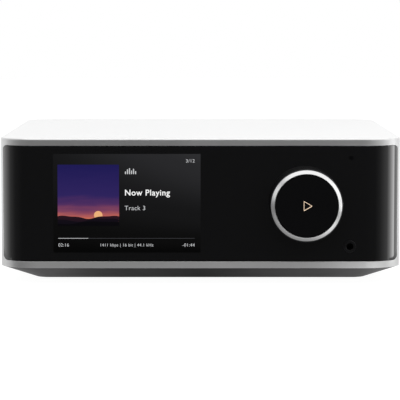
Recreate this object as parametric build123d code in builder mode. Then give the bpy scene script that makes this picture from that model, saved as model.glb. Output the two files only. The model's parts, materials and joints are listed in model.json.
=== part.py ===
from build123d import *

import math
import os

# A network music streamer: an aluminium case with a glass front that wraps round its corners, a
# screen, a volume knob round a play button, and the boards and sockets that it holds.
# Lengths are in millimetres. +Z is up, +Y is to the back, and the origin is on the surface that
# the case stands on, under its middle.

# Case
body_width = 200.0
body_depth = 200.0
body_height = 73.0
corner_radius = 18.0
side_wall = 2.0
top_wall = 2.5
top_band = 3.5
lower_band = 3.3
top_edge_radius = 0.7
wrap_angle = 66.0
window_corner_radius = 2.4
rear_opening_from_side = 19.0
rear_opening_from_top = 11.0
rear_opening_corner = 3.0
case_post_radius = 4.0
case_post_from_side = 22.0
case_post_from_front = 24.0
case_post_from_back = 42.0
case_thread_radius = 1.5
case_thread_length = 12.0

# Small gaps, and how far a cut runs past what it cuts
fit_gap = 0.1
running_gap = 0.08
overrun = 1.0

# Base tray and its foot
foot_clearance = 2.2
bevel_height = 6.5
bevel_inset = 17.0
base_corner_radius = 7.0
tray_floor = 2.2
tray_side = 2.0
tray_rim_width = 7.0
tray_lip_height = 2.0
tray_lip_wall = 1.6
foot_outer_radius = 62.0
foot_ring_width = 6.0
foot_groove_depth = 0.8
foot_edge_radius = 0.5
base_slot_length = 60.0
base_slot_width = 2.4
base_slot_pitch = 7.0
base_slot_count = 9

# Glass front and the carrier behind it
glass_thickness = 2.0
glass_gap = 0.12
carrier_wall = 2.5
carrier_reach = 14.0
carrier_boss_radius = 2.8

# Screen
screen_from_side = 63.9
screen_rise = 0.25
panel_width = 85.0
panel_height = 55.5
panel_thickness = 1.4
backlight_thickness = 2.4
bracket_thickness = 0.6
bracket_ear_length = 8.0
bracket_ear_height = 9.0
bracket_ear_spacing = 40.0
ribbon_thickness = 0.3
ribbon_bend_radius = 6.0
ribbon_width = 18.0
ribbon_drop = 14.0

# Volume knob and its encoder
knob_from_side = 48.0
knob_radius = 18.0
knob_reach = 13.0
knob_standoff = 0.4
knob_chamfer_width = 2.2
knob_chamfer_depth = 1.6
knob_land_width = 0.2
knob_skirt_wall = 2.8
knob_web_depth = 4.8
knob_web_thickness = 1.7
hub_outer_radius = 6.5
hub_bore_radius = 3.5
hub_flange_radius = 12.0
hub_flange_thickness = 1.5
bush_radius = 9.0
bush_reach = 3.5
encoder_radius = 14.0
encoder_cup_radius = 12.4
encoder_front_wall = 1.4
code_disc_radius = 11.6
code_disc_thickness = 1.0
code_disc_inset = 6.5
code_slot_count = 24
code_slot_length = 2.6
code_slot_width = 0.9
code_slot_from_edge = 2.2
hub_tail_inset = 4.0
encoder_nut_flats = 10.4
encoder_nut_thickness = 2.4
knob_hole_radius = 13.5

# Play button in the middle of the knob
button_gap = 0.25
button_recess = 0.1
button_lens_thickness = 1.4
button_travel = 0.6
button_dish_thickness = 1.5
button_dish_inset = 0.6
button_stem_radius = 2.6
icon_width = 4.3
icon_height = 5.0
icon_stroke = 0.6
icon_depth = 0.6
switch_width = 6.0
switch_height = 3.2
plunger_radius = 1.7
plunger_length = 3.3
plunger_side_gap = 0.1

# Control board behind the knob
board_thickness = 1.6
control_board_setback = 9.4
control_board_width = 66.0
control_board_height = 54.0
control_board_shift = 4.0
control_boss_inset = 4.5
sensor_from_side = 25.5
sensor_from_top = 6.0
sensor_radius = 1.2
sensor_block_width = 4.0
sensor_block_height = 2.0

# Round sockets for 3.5 mm plugs
plug_bore_radius = 1.8
plug_bore_length = 14.0
headphone_from_side = 26.0
headphone_from_bottom = 7.5
headphone_width = 12.0
headphone_height = 10.0
headphone_depth = 14.6
headphone_bushing_radius = 3.0
headphone_bushing_length = 2.6
headphone_ear_height = 3.0
headphone_ear_thickness = 2.0

# Main board and supply board
board_rise = 5.3
board_gap = 8.0
main_board_from_side = 12.0
main_board_from_front = 36.0
main_board_from_back = 6.0
supply_board_width = 42.0
supply_board_from_side = 12.0
supply_board_from_front = 40.0
board_screw_inset = 5.0
board_screw_from_back = 22.0
standoff_radius = 3.2
post_clearance = 1.0

# Screws
small_screw_radius = 1.1
small_screw_length = 4.5
small_screw_head_radius = 2.2
small_screw_head_height = 1.5
small_pilot_radius = 1.15
small_pilot_depth = 5.2
base_screw_length = 13.0
base_screw_head_radius = 2.8
base_screw_head_height = 1.5
base_screw_boss_radius = 4.6
rear_screw_length = 9.0
cross_length = 2.4
cross_width = 0.6
cross_depth = 0.8

# Parts on the main board
shield_size = 34.0
shield_height = 3.0
shield_wall = 0.4
sink_size = 30.0
sink_base = 2.5
sink_height = 13.0
sink_fin_thickness = 1.2
sink_fin_count = 8
module_width = 20.0
module_depth = 16.0
module_height = 2.6
chip_height = 1.2
chip_sizes = [9.0, 6.0, 6.0, 6.0, 6.0, 8.0, 8.0, 7.0, 7.0, 5.0, 5.0]
small_can_radius = 3.1
small_can_height = 8.0
small_can_pitch = 9.0
small_can_columns = 4
small_can_rows = 2
connector_depth = 5.0
connector_height = 3.4
connector_end = 2.0
supply_plug_width = 6.0
supply_plug_depth = 12.0
supply_plug_height = 8.0
lead_radius = 0.8
lead_pitch = 2.5
lead_count = 4
lead_rise = 9.0
lead_bend_radius = 4.0
coax_radius = 0.6
antenna_width = 7.0
antenna_length = 34.0
antenna_thickness = 0.8

# Parts on the supply board
filter_width = 16.0
filter_depth = 14.0
filter_height = 17.0
filter_end_thickness = 2.0
bulk_can_radius = 8.0
bulk_can_length = 26.0
bulk_can_edge_radius = 0.8
transformer_width = 22.0
transformer_depth = 26.0
transformer_height = 20.0
transformer_core_height = 14.0
transformer_core_width = 16.0
supply_sink_base = 2.0
supply_sink_width = 8.0
supply_sink_depth = 30.0
supply_sink_height = 22.0
supply_sink_fin_count = 5
supply_sink_fin_thickness = 1.4
output_can_radius = 5.0
output_can_height = 16.0
output_can_pitch = 13.0
output_can_count = 3

# Rear panel
rear_panel_recess = 0.8
rear_panel_wall = 2.7
rear_flange_width = 2.0
vent_count = 12
vent_pitch = 4.0
vent_width = 2.2
vent_height = 13.0
vent_from_side = 56.0
vent_rise = 28.4

# Mains inlet
inlet_from_side = 37.0
inlet_width = 22.0
inlet_height = 15.0
inlet_depth = 21.3
inlet_recess_width = 17.5
inlet_recess_height = 9.0
inlet_recess_depth = 13.0
inlet_pin_radius = 1.2
inlet_pin_pitch = 8.6
inlet_pin_reach = 9.5
inlet_screw_spacing = 27.0
inlet_screw_lug = 6.5

# Trigger jack
trigger_from_inlet = 20.5
trigger_width = 8.0
trigger_height = 9.0
trigger_depth = 15.0
trigger_collar_radius = 3.0

# Video, USB and network sockets
video_from_trigger = 12.5
video_width = 15.0
video_height = 6.2
video_depth = 12.0
video_wall = 0.5
usb_from_video = 16.5
usb_width = 14.4
usb_height = 7.0
usb_depth = 14.0
usb_wall = 0.6
socket_tongue_share = 0.8
video_tongue_thickness = 1.2
usb_tongue_thickness = 1.9
network_from_usb = 17.0
network_width = 16.0
network_height = 13.5
network_depth = 21.3
network_recess_width = 11.9
network_recess_height = 8.6
network_recess_depth = 14.0
network_latch_width = 4.2
network_latch_height = 2.0

# Optical sockets, one above the other, each behind a shutter flap
optical_from_network = 15.0
optical_width = 12.0
optical_height = 27.0
optical_depth = 20.0
optical_pitch = 13.0
optical_lower_rise = 6.7
optical_face_thickness = 1.0
optical_mouth = 8.0
optical_cavity_width = 9.4
optical_cavity_depth = 13.0
optical_cavity_below = 4.3
optical_cavity_above = 6.4
flap_width = 8.8
flap_length = 9.4
flap_thickness = 0.8
flap_knuckle_radius = 0.6
flap_pin_radius = 0.45
flap_pin_reach = 0.7
flap_hinge_setback = 0.8
flap_hinge_rise = 5.2

# Round audio sockets, in stacks of two
audio_from_side = 27.5
audio_column_pitch = 13.5
audio_column_count = 4
audio_lower_rise = 9.4
audio_row_pitch = 14.0
audio_row_count = 2
audio_block_width = 12.0
audio_block_depth = 12.0
audio_block_above = 7.0
audio_collar_radius = 5.2
audio_sleeve_radius = 4.15
audio_sleeve_wall = 0.6
audio_sleeve_reach = 8.5
audio_core_bore_radius = 1.65
audio_core_bore_depth = 8.0
audio_core_recess = 0.3

# Ground terminal
ground_rise_over_audio = 15.0
ground_post_radius = 2.0
ground_post_reach = 9.5
ground_collar_radius = 4.2
ground_collar_height = 1.0
ground_inner_nut_radius = 3.6
ground_inner_nut_height = 2.4
ground_washer_radius = 4.4
ground_washer_thickness = 0.8
ground_nut_radius = 5.0
ground_nut_height = 5.5
ground_knurl_count = 24
ground_knurl_radius = 0.35
ground_nut_edge = 0.5

# Places that follow from the sizes above
half_width = body_width / 2
front_y = -body_depth / 2
back_y = body_depth / 2
base_top_z = foot_clearance + bevel_height
glass_low_z = base_top_z + lower_band
glass_high_z = body_height - top_band
glass_height = glass_high_z - glass_low_z
glass_mid_z = (glass_high_z + glass_low_z) / 2
wrap_sine = math.sin(math.radians(wrap_angle))
wrap_cosine = math.cos(math.radians(wrap_angle))
glass_width = body_width - 2 * corner_radius * (1 - wrap_sine)
glass_wrap_depth = corner_radius * (1 - wrap_cosine)
ceiling_z = body_height - top_wall
inner_width = body_width - 2 * side_wall
inner_depth = body_depth - 2 * side_wall
inner_corner_radius = corner_radius - side_wall

post_x = half_width - case_post_from_side
post_front_y = front_y + case_post_from_front
post_back_y = back_y - case_post_from_back
case_posts = [(x, y) for x in (-post_x, post_x) for y in (post_front_y, post_back_y)]

carrier_front_y = front_y + glass_thickness + fit_gap
carrier_back_y = carrier_front_y + carrier_wall
carrier_root_y = (carrier_front_y + carrier_back_y) / 2
carrier_low_z = base_top_z + tray_lip_height + 2 * fit_gap
carrier_high_z = ceiling_z - fit_gap

screen_x = screen_from_side - half_width
screen_z = glass_mid_z + screen_rise
backlight_y = carrier_front_y + panel_thickness
bracket_y = backlight_y + backlight_thickness
bracket_width = panel_width + 2 * bracket_ear_length
bracket_screws = [
    (screen_x + side * (panel_width + bracket_ear_length) / 2, screen_z + end * bracket_ear_spacing / 2)
    for side in (-1, 1)
    for end in (-1, 1)
]

knob_x = half_width - knob_from_side
knob_z = glass_mid_z
knob_front_y = front_y - knob_reach
knob_back_y = front_y - knob_standoff
web_front_y = knob_front_y + knob_web_depth
web_back_y = web_front_y + knob_web_thickness
recess_radius = knob_radius - knob_chamfer_width - knob_land_width
control_board_y = carrier_back_y + control_board_setback
hub_tail_y = control_board_y - hub_tail_inset
code_disc_y = control_board_y - code_disc_inset
stem_tail_y = hub_tail_y - 2 * fit_gap
button_front_y = knob_front_y + button_recess
dish_front_y = button_front_y + button_lens_thickness

control_board_x = knob_x + control_board_shift
control_bosses = [
    (
        control_board_x + side * (control_board_width / 2 - control_boss_inset),
        glass_mid_z + end * (control_board_height / 2 - control_boss_inset),
    )
    for side in (-1, 1)
    for end in (-1, 1)
]
headphone_x = half_width - headphone_from_side
headphone_z = glass_low_z + headphone_from_bottom
sensor_x = half_width - sensor_from_side
sensor_z = glass_high_z - sensor_from_top

board_low_z = base_top_z + board_rise
board_z = board_low_z + board_thickness
supply_board_reach = supply_board_from_side + supply_board_width
main_board_width = body_width - main_board_from_side - supply_board_reach - board_gap
main_board_depth = body_depth - main_board_from_front - main_board_from_back
supply_board_depth = body_depth - supply_board_from_front - main_board_from_back
main_board_x = half_width - main_board_from_side - main_board_width / 2
main_board_y = back_y - main_board_from_back - main_board_depth / 2
supply_board_x = supply_board_from_side + supply_board_width / 2 - half_width
supply_board_y = back_y - main_board_from_back - supply_board_depth / 2
rear_standoff_y = back_y - main_board_from_back - board_screw_from_back
main_standoff_ys = (main_board_y - main_board_depth / 2 + board_screw_inset, rear_standoff_y)
supply_standoff_ys = (supply_board_y - supply_board_depth / 2 + board_screw_inset, rear_standoff_y)
main_screws = [
    (main_board_x + side * (main_board_width / 2 - board_screw_inset), y)
    for side in (-1, 1)
    for y in main_standoff_ys
]
supply_screws = [
    (supply_board_x + side * (supply_board_width / 2 - board_screw_inset), y)
    for side in (-1, 1)
    for y in supply_standoff_ys
]
board_screws = main_screws + supply_screws

panel_face_y = back_y - rear_panel_recess
panel_inner_y = panel_face_y - rear_panel_wall
socket_face_y = panel_face_y + fit_gap
rear_opening_width = body_width - 2 * rear_opening_from_side
rear_opening_low_z = glass_low_z
rear_opening_high_z = body_height - rear_opening_from_top
rear_opening_height = rear_opening_high_z - rear_opening_low_z
rear_opening_mid_z = (rear_opening_high_z + rear_opening_low_z) / 2

inlet_x = inlet_from_side - half_width
inlet_z = board_z + inlet_height / 2
trigger_x = inlet_x + trigger_from_inlet
trigger_z = board_z + trigger_height / 2
video_x = trigger_x + video_from_trigger
video_z = board_z + video_height / 2
usb_x = video_x + usb_from_video
usb_z = board_z + usb_height / 2
network_x = usb_x + network_from_usb
network_z = board_z + network_height / 2
optical_x = network_x + optical_from_network
optical_z = board_z + optical_height / 2
optical_rows = [board_z + optical_lower_rise + i * optical_pitch for i in range(2)]
audio_columns = [half_width - audio_from_side - i * audio_column_pitch for i in range(audio_column_count)]
audio_rows = [board_z + audio_lower_rise + i * audio_row_pitch for i in range(audio_row_count)]
audio_sockets = [(x, z) for x in audio_columns for z in audio_rows]
ground_x = (audio_columns[0] + audio_columns[1]) / 2
ground_z = audio_rows[-1] + ground_rise_over_audio
rear_screws = [(inlet_x + side * inlet_screw_spacing / 2, inlet_z) for side in (-1, 1)]
rear_screws += [((audio_columns[i] + audio_columns[i + 1]) / 2, sum(audio_rows) / 2) for i in (0, 2)]


def facing_front(x, y, z):
    """A plane that looks out of the front: its x is the case's x, and its y is up."""
    return Plane(origin=(x, y, z), x_dir=(1, 0, 0), z_dir=(0, -1, 0))


def block(x, y, z, width, depth, height, mode=Mode.ADD):
    """A box that stands on the point under its middle."""
    with Locations((x, y, z)):
        Box(width, depth, height, align=(Align.CENTER, Align.CENTER, Align.MIN), mode=mode)


def slab(x, y, z, width, depth, height, mode=Mode.ADD):
    """A box that runs back from the middle of its front face."""
    with Locations((x, y, z)):
        Box(width, depth, height, align=(Align.CENTER, Align.MIN, Align.CENTER), mode=mode)


def pillar(x, y, z, radius, height, mode=Mode.ADD):
    """A round pillar that stands on the point."""
    with Locations((x, y, z)):
        Cylinder(radius, height, align=(Align.CENTER, Align.CENTER, Align.MIN), mode=mode)


def rod(x, y, z, radius, length, mode=Mode.ADD):
    """A round rod that runs back from the point."""
    with Locations(Location((x, y, z), (-90, 0, 0))):
        Cylinder(radius, length, align=(Align.CENTER, Align.CENTER, Align.MIN), mode=mode)


def screw(place, turn, head_radius, head_height, shank_radius, shank_length):
    """A pan head screw, its head on the place and its shank against the turned z axis."""
    with Locations(Location(place, turn)):
        Cylinder(head_radius, head_height, align=(Align.CENTER, Align.CENTER, Align.MIN))
        Cylinder(shank_radius, shank_length, align=(Align.CENTER, Align.CENTER, Align.MAX))
    with Locations(Location(place, turn) * Location((0, 0, head_height))):
        low = (Align.CENTER, Align.CENTER, Align.MAX)
        Box(cross_length, cross_width, cross_depth, align=low, mode=Mode.SUBTRACT)
        Box(cross_width, cross_length, cross_depth, align=low, mode=Mode.SUBTRACT)


def wall_ring(outer_inset, wall):
    """The case's outline drawn in by the inset, as a ring of one wall."""
    inner_inset = outer_inset + wall
    RectangleRounded(body_width - 2 * outer_inset, body_depth - 2 * outer_inset, corner_radius - outer_inset)
    RectangleRounded(
        body_width - 2 * inner_inset,
        body_depth - 2 * inner_inset,
        corner_radius - inner_inset,
        mode=Mode.SUBTRACT,
    )


os.makedirs("parts", exist_ok=True)

# Housing: top, sides and both front bands in one piece, with four screw posts under the top
with BuildPart() as housing:
    with BuildSketch(Plane.XY.offset(base_top_z)):
        RectangleRounded(body_width, body_depth, corner_radius)
    extrude(amount=body_height - base_top_z)
    fillet(housing.edges().group_by(Axis.Z)[-1], top_edge_radius)
    with BuildSketch(Plane.XY.offset(base_top_z)):
        RectangleRounded(inner_width, inner_depth, inner_corner_radius)
    extrude(amount=ceiling_z - base_top_z, mode=Mode.SUBTRACT)
    with BuildSketch(facing_front(0, front_y - overrun, glass_mid_z)):
        RectangleRounded(glass_width, glass_height, window_corner_radius)
    extrude(amount=-(overrun + glass_wrap_depth), mode=Mode.SUBTRACT)
    with BuildSketch(facing_front(0, back_y + overrun, rear_opening_mid_z)):
        RectangleRounded(rear_opening_width, rear_opening_height, rear_opening_corner)
    extrude(amount=overrun + 2 * side_wall, mode=Mode.SUBTRACT)
    with BuildSketch(Plane.XY.offset(base_top_z)):
        with Locations(*case_posts):
            Circle(case_post_radius)
            Circle(case_thread_radius, mode=Mode.SUBTRACT)
    extrude(amount=case_thread_length)
    with BuildSketch(Plane.XY.offset(base_top_z + case_thread_length)):
        with Locations(*case_posts):
            Circle(case_post_radius)
    extrude(amount=ceiling_z - base_top_z - case_thread_length)
housing.part.label = "housing"
export_step(housing.part, "parts/housing.step")

# Glass front, a shell of the case's own outline cut to the window
with BuildPart() as front_glass:
    with BuildSketch(Plane.XY.offset(glass_low_z - overrun)):
        wall_ring(0, glass_thickness)
    extrude(amount=glass_height + 2 * overrun)
    with BuildSketch(facing_front(0, front_y - overrun, glass_mid_z)):
        RectangleRounded(
            glass_width - 2 * glass_gap,
            glass_height - 2 * glass_gap,
            window_corner_radius - glass_gap,
        )
    extrude(amount=-(overrun + glass_wrap_depth - glass_gap), mode=Mode.INTERSECT)
    rod(knob_x, front_y - overrun, knob_z, knob_hole_radius, glass_thickness + 2 * overrun, Mode.SUBTRACT)
    rod(
        headphone_x,
        front_y - overrun,
        headphone_z,
        headphone_bushing_radius + fit_gap,
        glass_thickness + 2 * overrun,
        Mode.SUBTRACT,
    )
front_glass.part.label = "front_glass"
export_step(front_glass.part, "parts/front_glass.step")

# Carrier that the glass is bonded to, with bosses for the screen's bracket and the control board
with BuildPart() as front_carrier:
    with BuildSketch(Plane.XY.offset(carrier_low_z)):
        wall_ring(glass_thickness + fit_gap, carrier_wall)
    extrude(amount=carrier_high_z - carrier_low_z)
    block(
        0,
        front_y + carrier_reach / 2,
        carrier_low_z,
        body_width,
        carrier_reach,
        carrier_high_z - carrier_low_z,
        Mode.INTERSECT,
    )
    for x, z in bracket_screws:
        rod(x, carrier_root_y, z, carrier_boss_radius, bracket_y - carrier_root_y)
    for x, z in control_bosses:
        rod(x, carrier_root_y, z, carrier_boss_radius, control_board_y - carrier_root_y)
    slab(
        screen_x,
        front_y,
        screen_z,
        panel_width + 4 * fit_gap,
        carrier_reach,
        panel_height + 4 * fit_gap,
        Mode.SUBTRACT,
    )
    for x, z in bracket_screws:
        rod(x, bracket_y - small_screw_length, z, small_pilot_radius, small_screw_length, Mode.SUBTRACT)
    for x, z in control_bosses:
        rod(x, control_board_y - small_pilot_depth, z, small_pilot_radius, small_pilot_depth, Mode.SUBTRACT)
    rod(knob_x, front_y, knob_z, bush_radius + fit_gap, carrier_reach, Mode.SUBTRACT)
    slab(
        headphone_x,
        front_y,
        headphone_z,
        headphone_width + 4 * fit_gap,
        carrier_reach,
        headphone_height + 4 * fit_gap,
        Mode.SUBTRACT,
    )
    rod(sensor_x, front_y, sensor_z, sensor_radius + fit_gap, carrier_reach, Mode.SUBTRACT)
front_carrier.part.label = "front_carrier"
export_step(front_carrier.part, "parts/front_carrier.step")

# Screen: the panel, its backlight, and the sheet bracket that holds both in the carrier
with BuildPart() as display_panel:
    slab(screen_x, carrier_front_y, screen_z, panel_width, panel_thickness, panel_height)
display_panel.part.label = "display_panel"
export_step(display_panel.part, "parts/display_panel.step")

with BuildPart() as display_backlight:
    slab(screen_x, backlight_y, screen_z, panel_width, backlight_thickness, panel_height)
    fillet(display_backlight.edges().filter_by(Axis.Y), bracket_thickness)
display_backlight.part.label = "display_backlight"
export_step(display_backlight.part, "parts/display_backlight.step")

with BuildPart() as display_bracket:
    with BuildSketch(facing_front(screen_x, bracket_y, screen_z)):
        Rectangle(panel_width, panel_height)
        with GridLocations(0, bracket_ear_spacing, 1, 2):
            Rectangle(bracket_width, bracket_ear_height)
    extrude(amount=-bracket_thickness)
    for x, z in bracket_screws:
        rod(x, bracket_y, z, small_pilot_radius, bracket_thickness, Mode.SUBTRACT)
display_bracket.part.label = "display_bracket"
export_step(display_bracket.part, "parts/display_bracket.step")

# Volume knob: a silver ring whose front edge is chamfered outwards, and a web inside it
with BuildPart() as knob_ring:
    with BuildSketch(Plane(origin=(knob_x, 0, knob_z), x_dir=(1, 0, 0), z_dir=(0, 0, 1))):
        with BuildLine():
            Polyline(
                (knob_radius, knob_back_y),
                (knob_radius, knob_front_y + knob_chamfer_depth),
                (knob_radius - knob_chamfer_width, knob_front_y),
                (recess_radius, knob_front_y),
                (recess_radius, web_front_y),
                (hub_outer_radius, web_front_y),
                (hub_outer_radius, web_back_y),
                (knob_radius - knob_skirt_wall, web_back_y),
                (knob_radius - knob_skirt_wall, knob_back_y),
                close=True,
            )
        make_face()
    revolve(axis=Axis((knob_x, 0, knob_z), (0, 1, 0)))
knob_ring.part.label = "knob_ring"
export_step(knob_ring.part, "parts/knob_ring.step")

# Hub that carries the ring and runs through the encoder's bush
with BuildPart() as knob_hub:
    rod(knob_x, web_front_y, knob_z, hub_outer_radius, hub_tail_y - web_front_y)
    rod(knob_x, web_back_y, knob_z, hub_flange_radius, hub_flange_thickness)
    rod(knob_x, web_front_y, knob_z, hub_bore_radius, hub_tail_y - web_front_y, Mode.SUBTRACT)
knob_hub.part.label = "knob_hub"
export_step(knob_hub.part, "parts/knob_hub.step")

# Slotted disc on the hub's tail, which the encoder reads
with BuildPart() as code_disc:
    with BuildSketch(facing_front(knob_x, code_disc_y, knob_z)):
        Circle(code_disc_radius)
        Circle(hub_outer_radius, mode=Mode.SUBTRACT)
        with PolarLocations(code_disc_radius - code_slot_from_edge, code_slot_count):
            Rectangle(code_slot_length, code_slot_width, mode=Mode.SUBTRACT)
    extrude(amount=-code_disc_thickness)
code_disc.part.label = "code_disc"
export_step(code_disc.part, "parts/code_disc.step")

# Encoder body: a bush through the carrier, and a cup round the disc, on the control board
with BuildPart() as encoder_body:
    rod(knob_x, carrier_back_y, knob_z, encoder_radius, control_board_y - carrier_back_y)
    rod(knob_x, carrier_front_y - bush_reach, knob_z, bush_radius, bush_reach + carrier_wall)
    rod(
        knob_x,
        carrier_front_y - bush_reach,
        knob_z,
        hub_outer_radius + running_gap,
        control_board_y - carrier_front_y + bush_reach,
        Mode.SUBTRACT,
    )
    rod(
        knob_x,
        carrier_back_y + encoder_front_wall,
        knob_z,
        encoder_cup_radius,
        control_board_setback - encoder_front_wall,
        Mode.SUBTRACT,
    )
encoder_body.part.label = "encoder_body"
export_step(encoder_body.part, "parts/encoder_body.step")

# Nut that clamps the bush to the carrier, inside the hole in the glass
with BuildPart() as encoder_nut:
    with BuildSketch(facing_front(knob_x, carrier_front_y, knob_z)):
        RegularPolygon(encoder_nut_flats, 6, major_radius=False)
        Circle(bush_radius, mode=Mode.SUBTRACT)
    extrude(amount=encoder_nut_thickness)
encoder_nut.part.label = "encoder_nut"
export_step(encoder_nut.part, "parts/encoder_nut.step")

# Play button: a black lens with an inlaid play symbol, on a dish with a stem through the hub
icon_outline = [
    (-icon_width / 3, -icon_height / 2),
    (-icon_width / 3, icon_height / 2),
    (icon_width * 2 / 3, 0),
]

with BuildPart() as play_icon:
    with BuildSketch(facing_front(knob_x, button_front_y, knob_z)):
        Polygon(*icon_outline, align=None)
        offset(amount=-icon_stroke, mode=Mode.SUBTRACT)
    extrude(amount=-icon_depth)
play_icon.part.label = "play_icon"
export_step(play_icon.part, "parts/play_icon.step")

with BuildPart() as button_lens:
    with BuildSketch(facing_front(knob_x, button_front_y, knob_z)):
        Circle(recess_radius - button_gap)
    extrude(amount=-button_lens_thickness)
    with BuildSketch(facing_front(knob_x, button_front_y, knob_z)):
        Polygon(*icon_outline, align=None)
        offset(amount=-icon_stroke, mode=Mode.SUBTRACT)
    extrude(amount=-icon_depth, mode=Mode.SUBTRACT)
button_lens.part.label = "button_lens"
export_step(button_lens.part, "parts/button_lens.step")

with BuildPart() as button_stem:
    rod(knob_x, dish_front_y, knob_z, recess_radius - button_gap - button_dish_inset, button_dish_thickness)
    rod(knob_x, dish_front_y, knob_z, button_stem_radius, stem_tail_y - dish_front_y)
button_stem.part.label = "button_stem"
export_step(button_stem.part, "parts/button_stem.step")

with BuildPart() as switch_plunger:
    rod(knob_x, stem_tail_y, knob_z, plunger_radius, plunger_length)
switch_plunger.part.label = "switch_plunger"
export_step(switch_plunger.part, "parts/switch_plunger.step")

# Switch that the button presses, with a well for its plunger
with BuildPart() as switch_body:
    slab(knob_x, control_board_y - switch_height, knob_z, switch_width, switch_height, switch_width)
    rod(
        knob_x,
        control_board_y - switch_height,
        knob_z,
        plunger_radius + plunger_side_gap,
        stem_tail_y + plunger_length + 2 * button_travel - control_board_y + switch_height,
        Mode.SUBTRACT,
    )
switch_body.part.label = "switch_body"
export_step(switch_body.part, "parts/switch_body.step")

# Control board, upright behind the knob
with BuildPart() as control_board:
    slab(
        control_board_x,
        control_board_y,
        glass_mid_z,
        control_board_width,
        board_thickness,
        control_board_height,
    )
    for x, z in control_bosses:
        rod(x, control_board_y, z, small_pilot_radius, board_thickness, Mode.SUBTRACT)
    slab(
        headphone_x,
        control_board_y,
        headphone_z,
        headphone_width + 4 * fit_gap,
        board_thickness,
        headphone_height + 4 * fit_gap,
        Mode.SUBTRACT,
    )
control_board.part.label = "control_board"
export_step(control_board.part, "parts/control_board.step")

# Headphone socket: a moulded body with its ear on the board, and a metal bushing in the glass
headphone_body_y = front_y + headphone_bushing_length

with BuildPart() as headphone_jack:
    slab(headphone_x, headphone_body_y, headphone_z, headphone_width, headphone_depth, headphone_height)
    slab(
        headphone_x,
        control_board_y - headphone_ear_thickness,
        headphone_z + headphone_height / 2 + headphone_ear_height / 2,
        headphone_width,
        headphone_ear_thickness,
        headphone_ear_height,
    )
    rod(
        headphone_x,
        headphone_body_y,
        headphone_z,
        plug_bore_radius,
        plug_bore_length - headphone_bushing_length,
        Mode.SUBTRACT,
    )
headphone_jack.part.label = "headphone_jack"
export_step(headphone_jack.part, "parts/headphone_jack.step")

with BuildPart() as jack_bushing:
    with BuildSketch(facing_front(headphone_x, front_y, headphone_z)):
        Circle(headphone_bushing_radius)
        Circle(plug_bore_radius, mode=Mode.SUBTRACT)
    extrude(amount=-headphone_bushing_length)
jack_bushing.part.label = "jack_bushing"
export_step(jack_bushing.part, "parts/jack_bushing.step")

# Light sensor: a block on the control board with a clear pipe to the glass
with BuildPart() as light_sensor:
    slab(
        sensor_x,
        control_board_y - sensor_block_height,
        sensor_z,
        sensor_block_width,
        sensor_block_height,
        sensor_block_width,
    )
    rod(sensor_x, carrier_front_y, sensor_z, sensor_radius, control_board_y - carrier_front_y)
light_sensor.part.label = "light_sensor"
export_step(light_sensor.part, "parts/light_sensor.step")

# Base tray: the dark bevel under the case, hollow, with standoffs for both boards
tray_floor_z = foot_clearance + tray_floor
pillar_root_z = foot_clearance + tray_floor / 2
base_width = body_width - 2 * bevel_inset
base_depth = body_depth - 2 * bevel_inset
screw_seat_z = foot_clearance + base_screw_head_height + 2 * fit_gap

with BuildPart() as base_tray:
    with BuildSketch(Plane.XY.offset(foot_clearance)):
        RectangleRounded(base_width, base_depth, base_corner_radius)
    with BuildSketch(Plane.XY.offset(base_top_z)):
        RectangleRounded(body_width, body_depth, corner_radius)
    loft(ruled=True)
    with BuildSketch(Plane.XY.offset(tray_floor_z)):
        RectangleRounded(
            base_width - 2 * tray_side,
            base_depth - 2 * tray_side,
            base_corner_radius - tray_side / 2,
        )
    with BuildSketch(Plane.XY.offset(base_top_z)):
        RectangleRounded(
            body_width - 2 * tray_rim_width,
            body_depth - 2 * tray_rim_width,
            corner_radius - tray_rim_width / 2,
        )
    loft(ruled=True, mode=Mode.SUBTRACT)
    with BuildSketch(Plane.XY.offset(base_top_z)):
        wall_ring(side_wall + fit_gap, tray_lip_wall)
    extrude(amount=tray_lip_height)
    for x, y in board_screws:
        pillar(x, y, pillar_root_z, standoff_radius, board_low_z - pillar_root_z)
    for x, y in board_screws:
        pillar(x, y, board_low_z - small_pilot_depth, small_pilot_radius, small_pilot_depth, Mode.SUBTRACT)
    for x, y in case_posts:
        pillar(x, y, pillar_root_z, base_screw_boss_radius, base_top_z - pillar_root_z)
    for x, y in case_posts:
        pillar(x, y, foot_clearance, case_thread_radius + fit_gap, bevel_height, Mode.SUBTRACT)
        pillar(
            x,
            y,
            foot_clearance,
            base_screw_head_radius + 2 * fit_gap,
            screw_seat_z - foot_clearance,
            Mode.SUBTRACT,
        )
    with BuildSketch(Plane.XY.offset(foot_clearance)):
        Circle(foot_outer_radius + fit_gap)
        Circle(foot_outer_radius - foot_ring_width - fit_gap, mode=Mode.SUBTRACT)
    extrude(amount=foot_groove_depth, mode=Mode.SUBTRACT)
    with BuildSketch(Plane.XY.offset(foot_clearance)):
        with GridLocations(0, base_slot_pitch, 1, base_slot_count):
            SlotOverall(base_slot_length, base_slot_width)
    extrude(amount=tray_floor, mode=Mode.SUBTRACT)
base_tray.part.label = "base_tray"
export_step(base_tray.part, "parts/base_tray.step")

# Rubber ring foot in the tray's groove
with BuildPart() as foot_ring:
    with BuildSketch():
        Circle(foot_outer_radius)
        Circle(foot_outer_radius - foot_ring_width, mode=Mode.SUBTRACT)
    extrude(amount=foot_clearance + foot_groove_depth)
    fillet(foot_ring.edges().group_by(Axis.Z)[0], foot_edge_radius)
foot_ring.part.label = "foot_ring"
export_step(foot_ring.part, "parts/foot_ring.step")

# Screws: four under the base, the small ones inside, and four in the rear panel
with BuildPart() as base_screws:
    for x, y in case_posts:
        screw(
            (x, y, screw_seat_z),
            (180, 0, 0),
            base_screw_head_radius,
            base_screw_head_height,
            case_thread_radius - fit_gap,
            base_screw_length,
        )
base_screws.part.label = "base_screws"
export_step(base_screws.part, "parts/base_screws.step")

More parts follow.
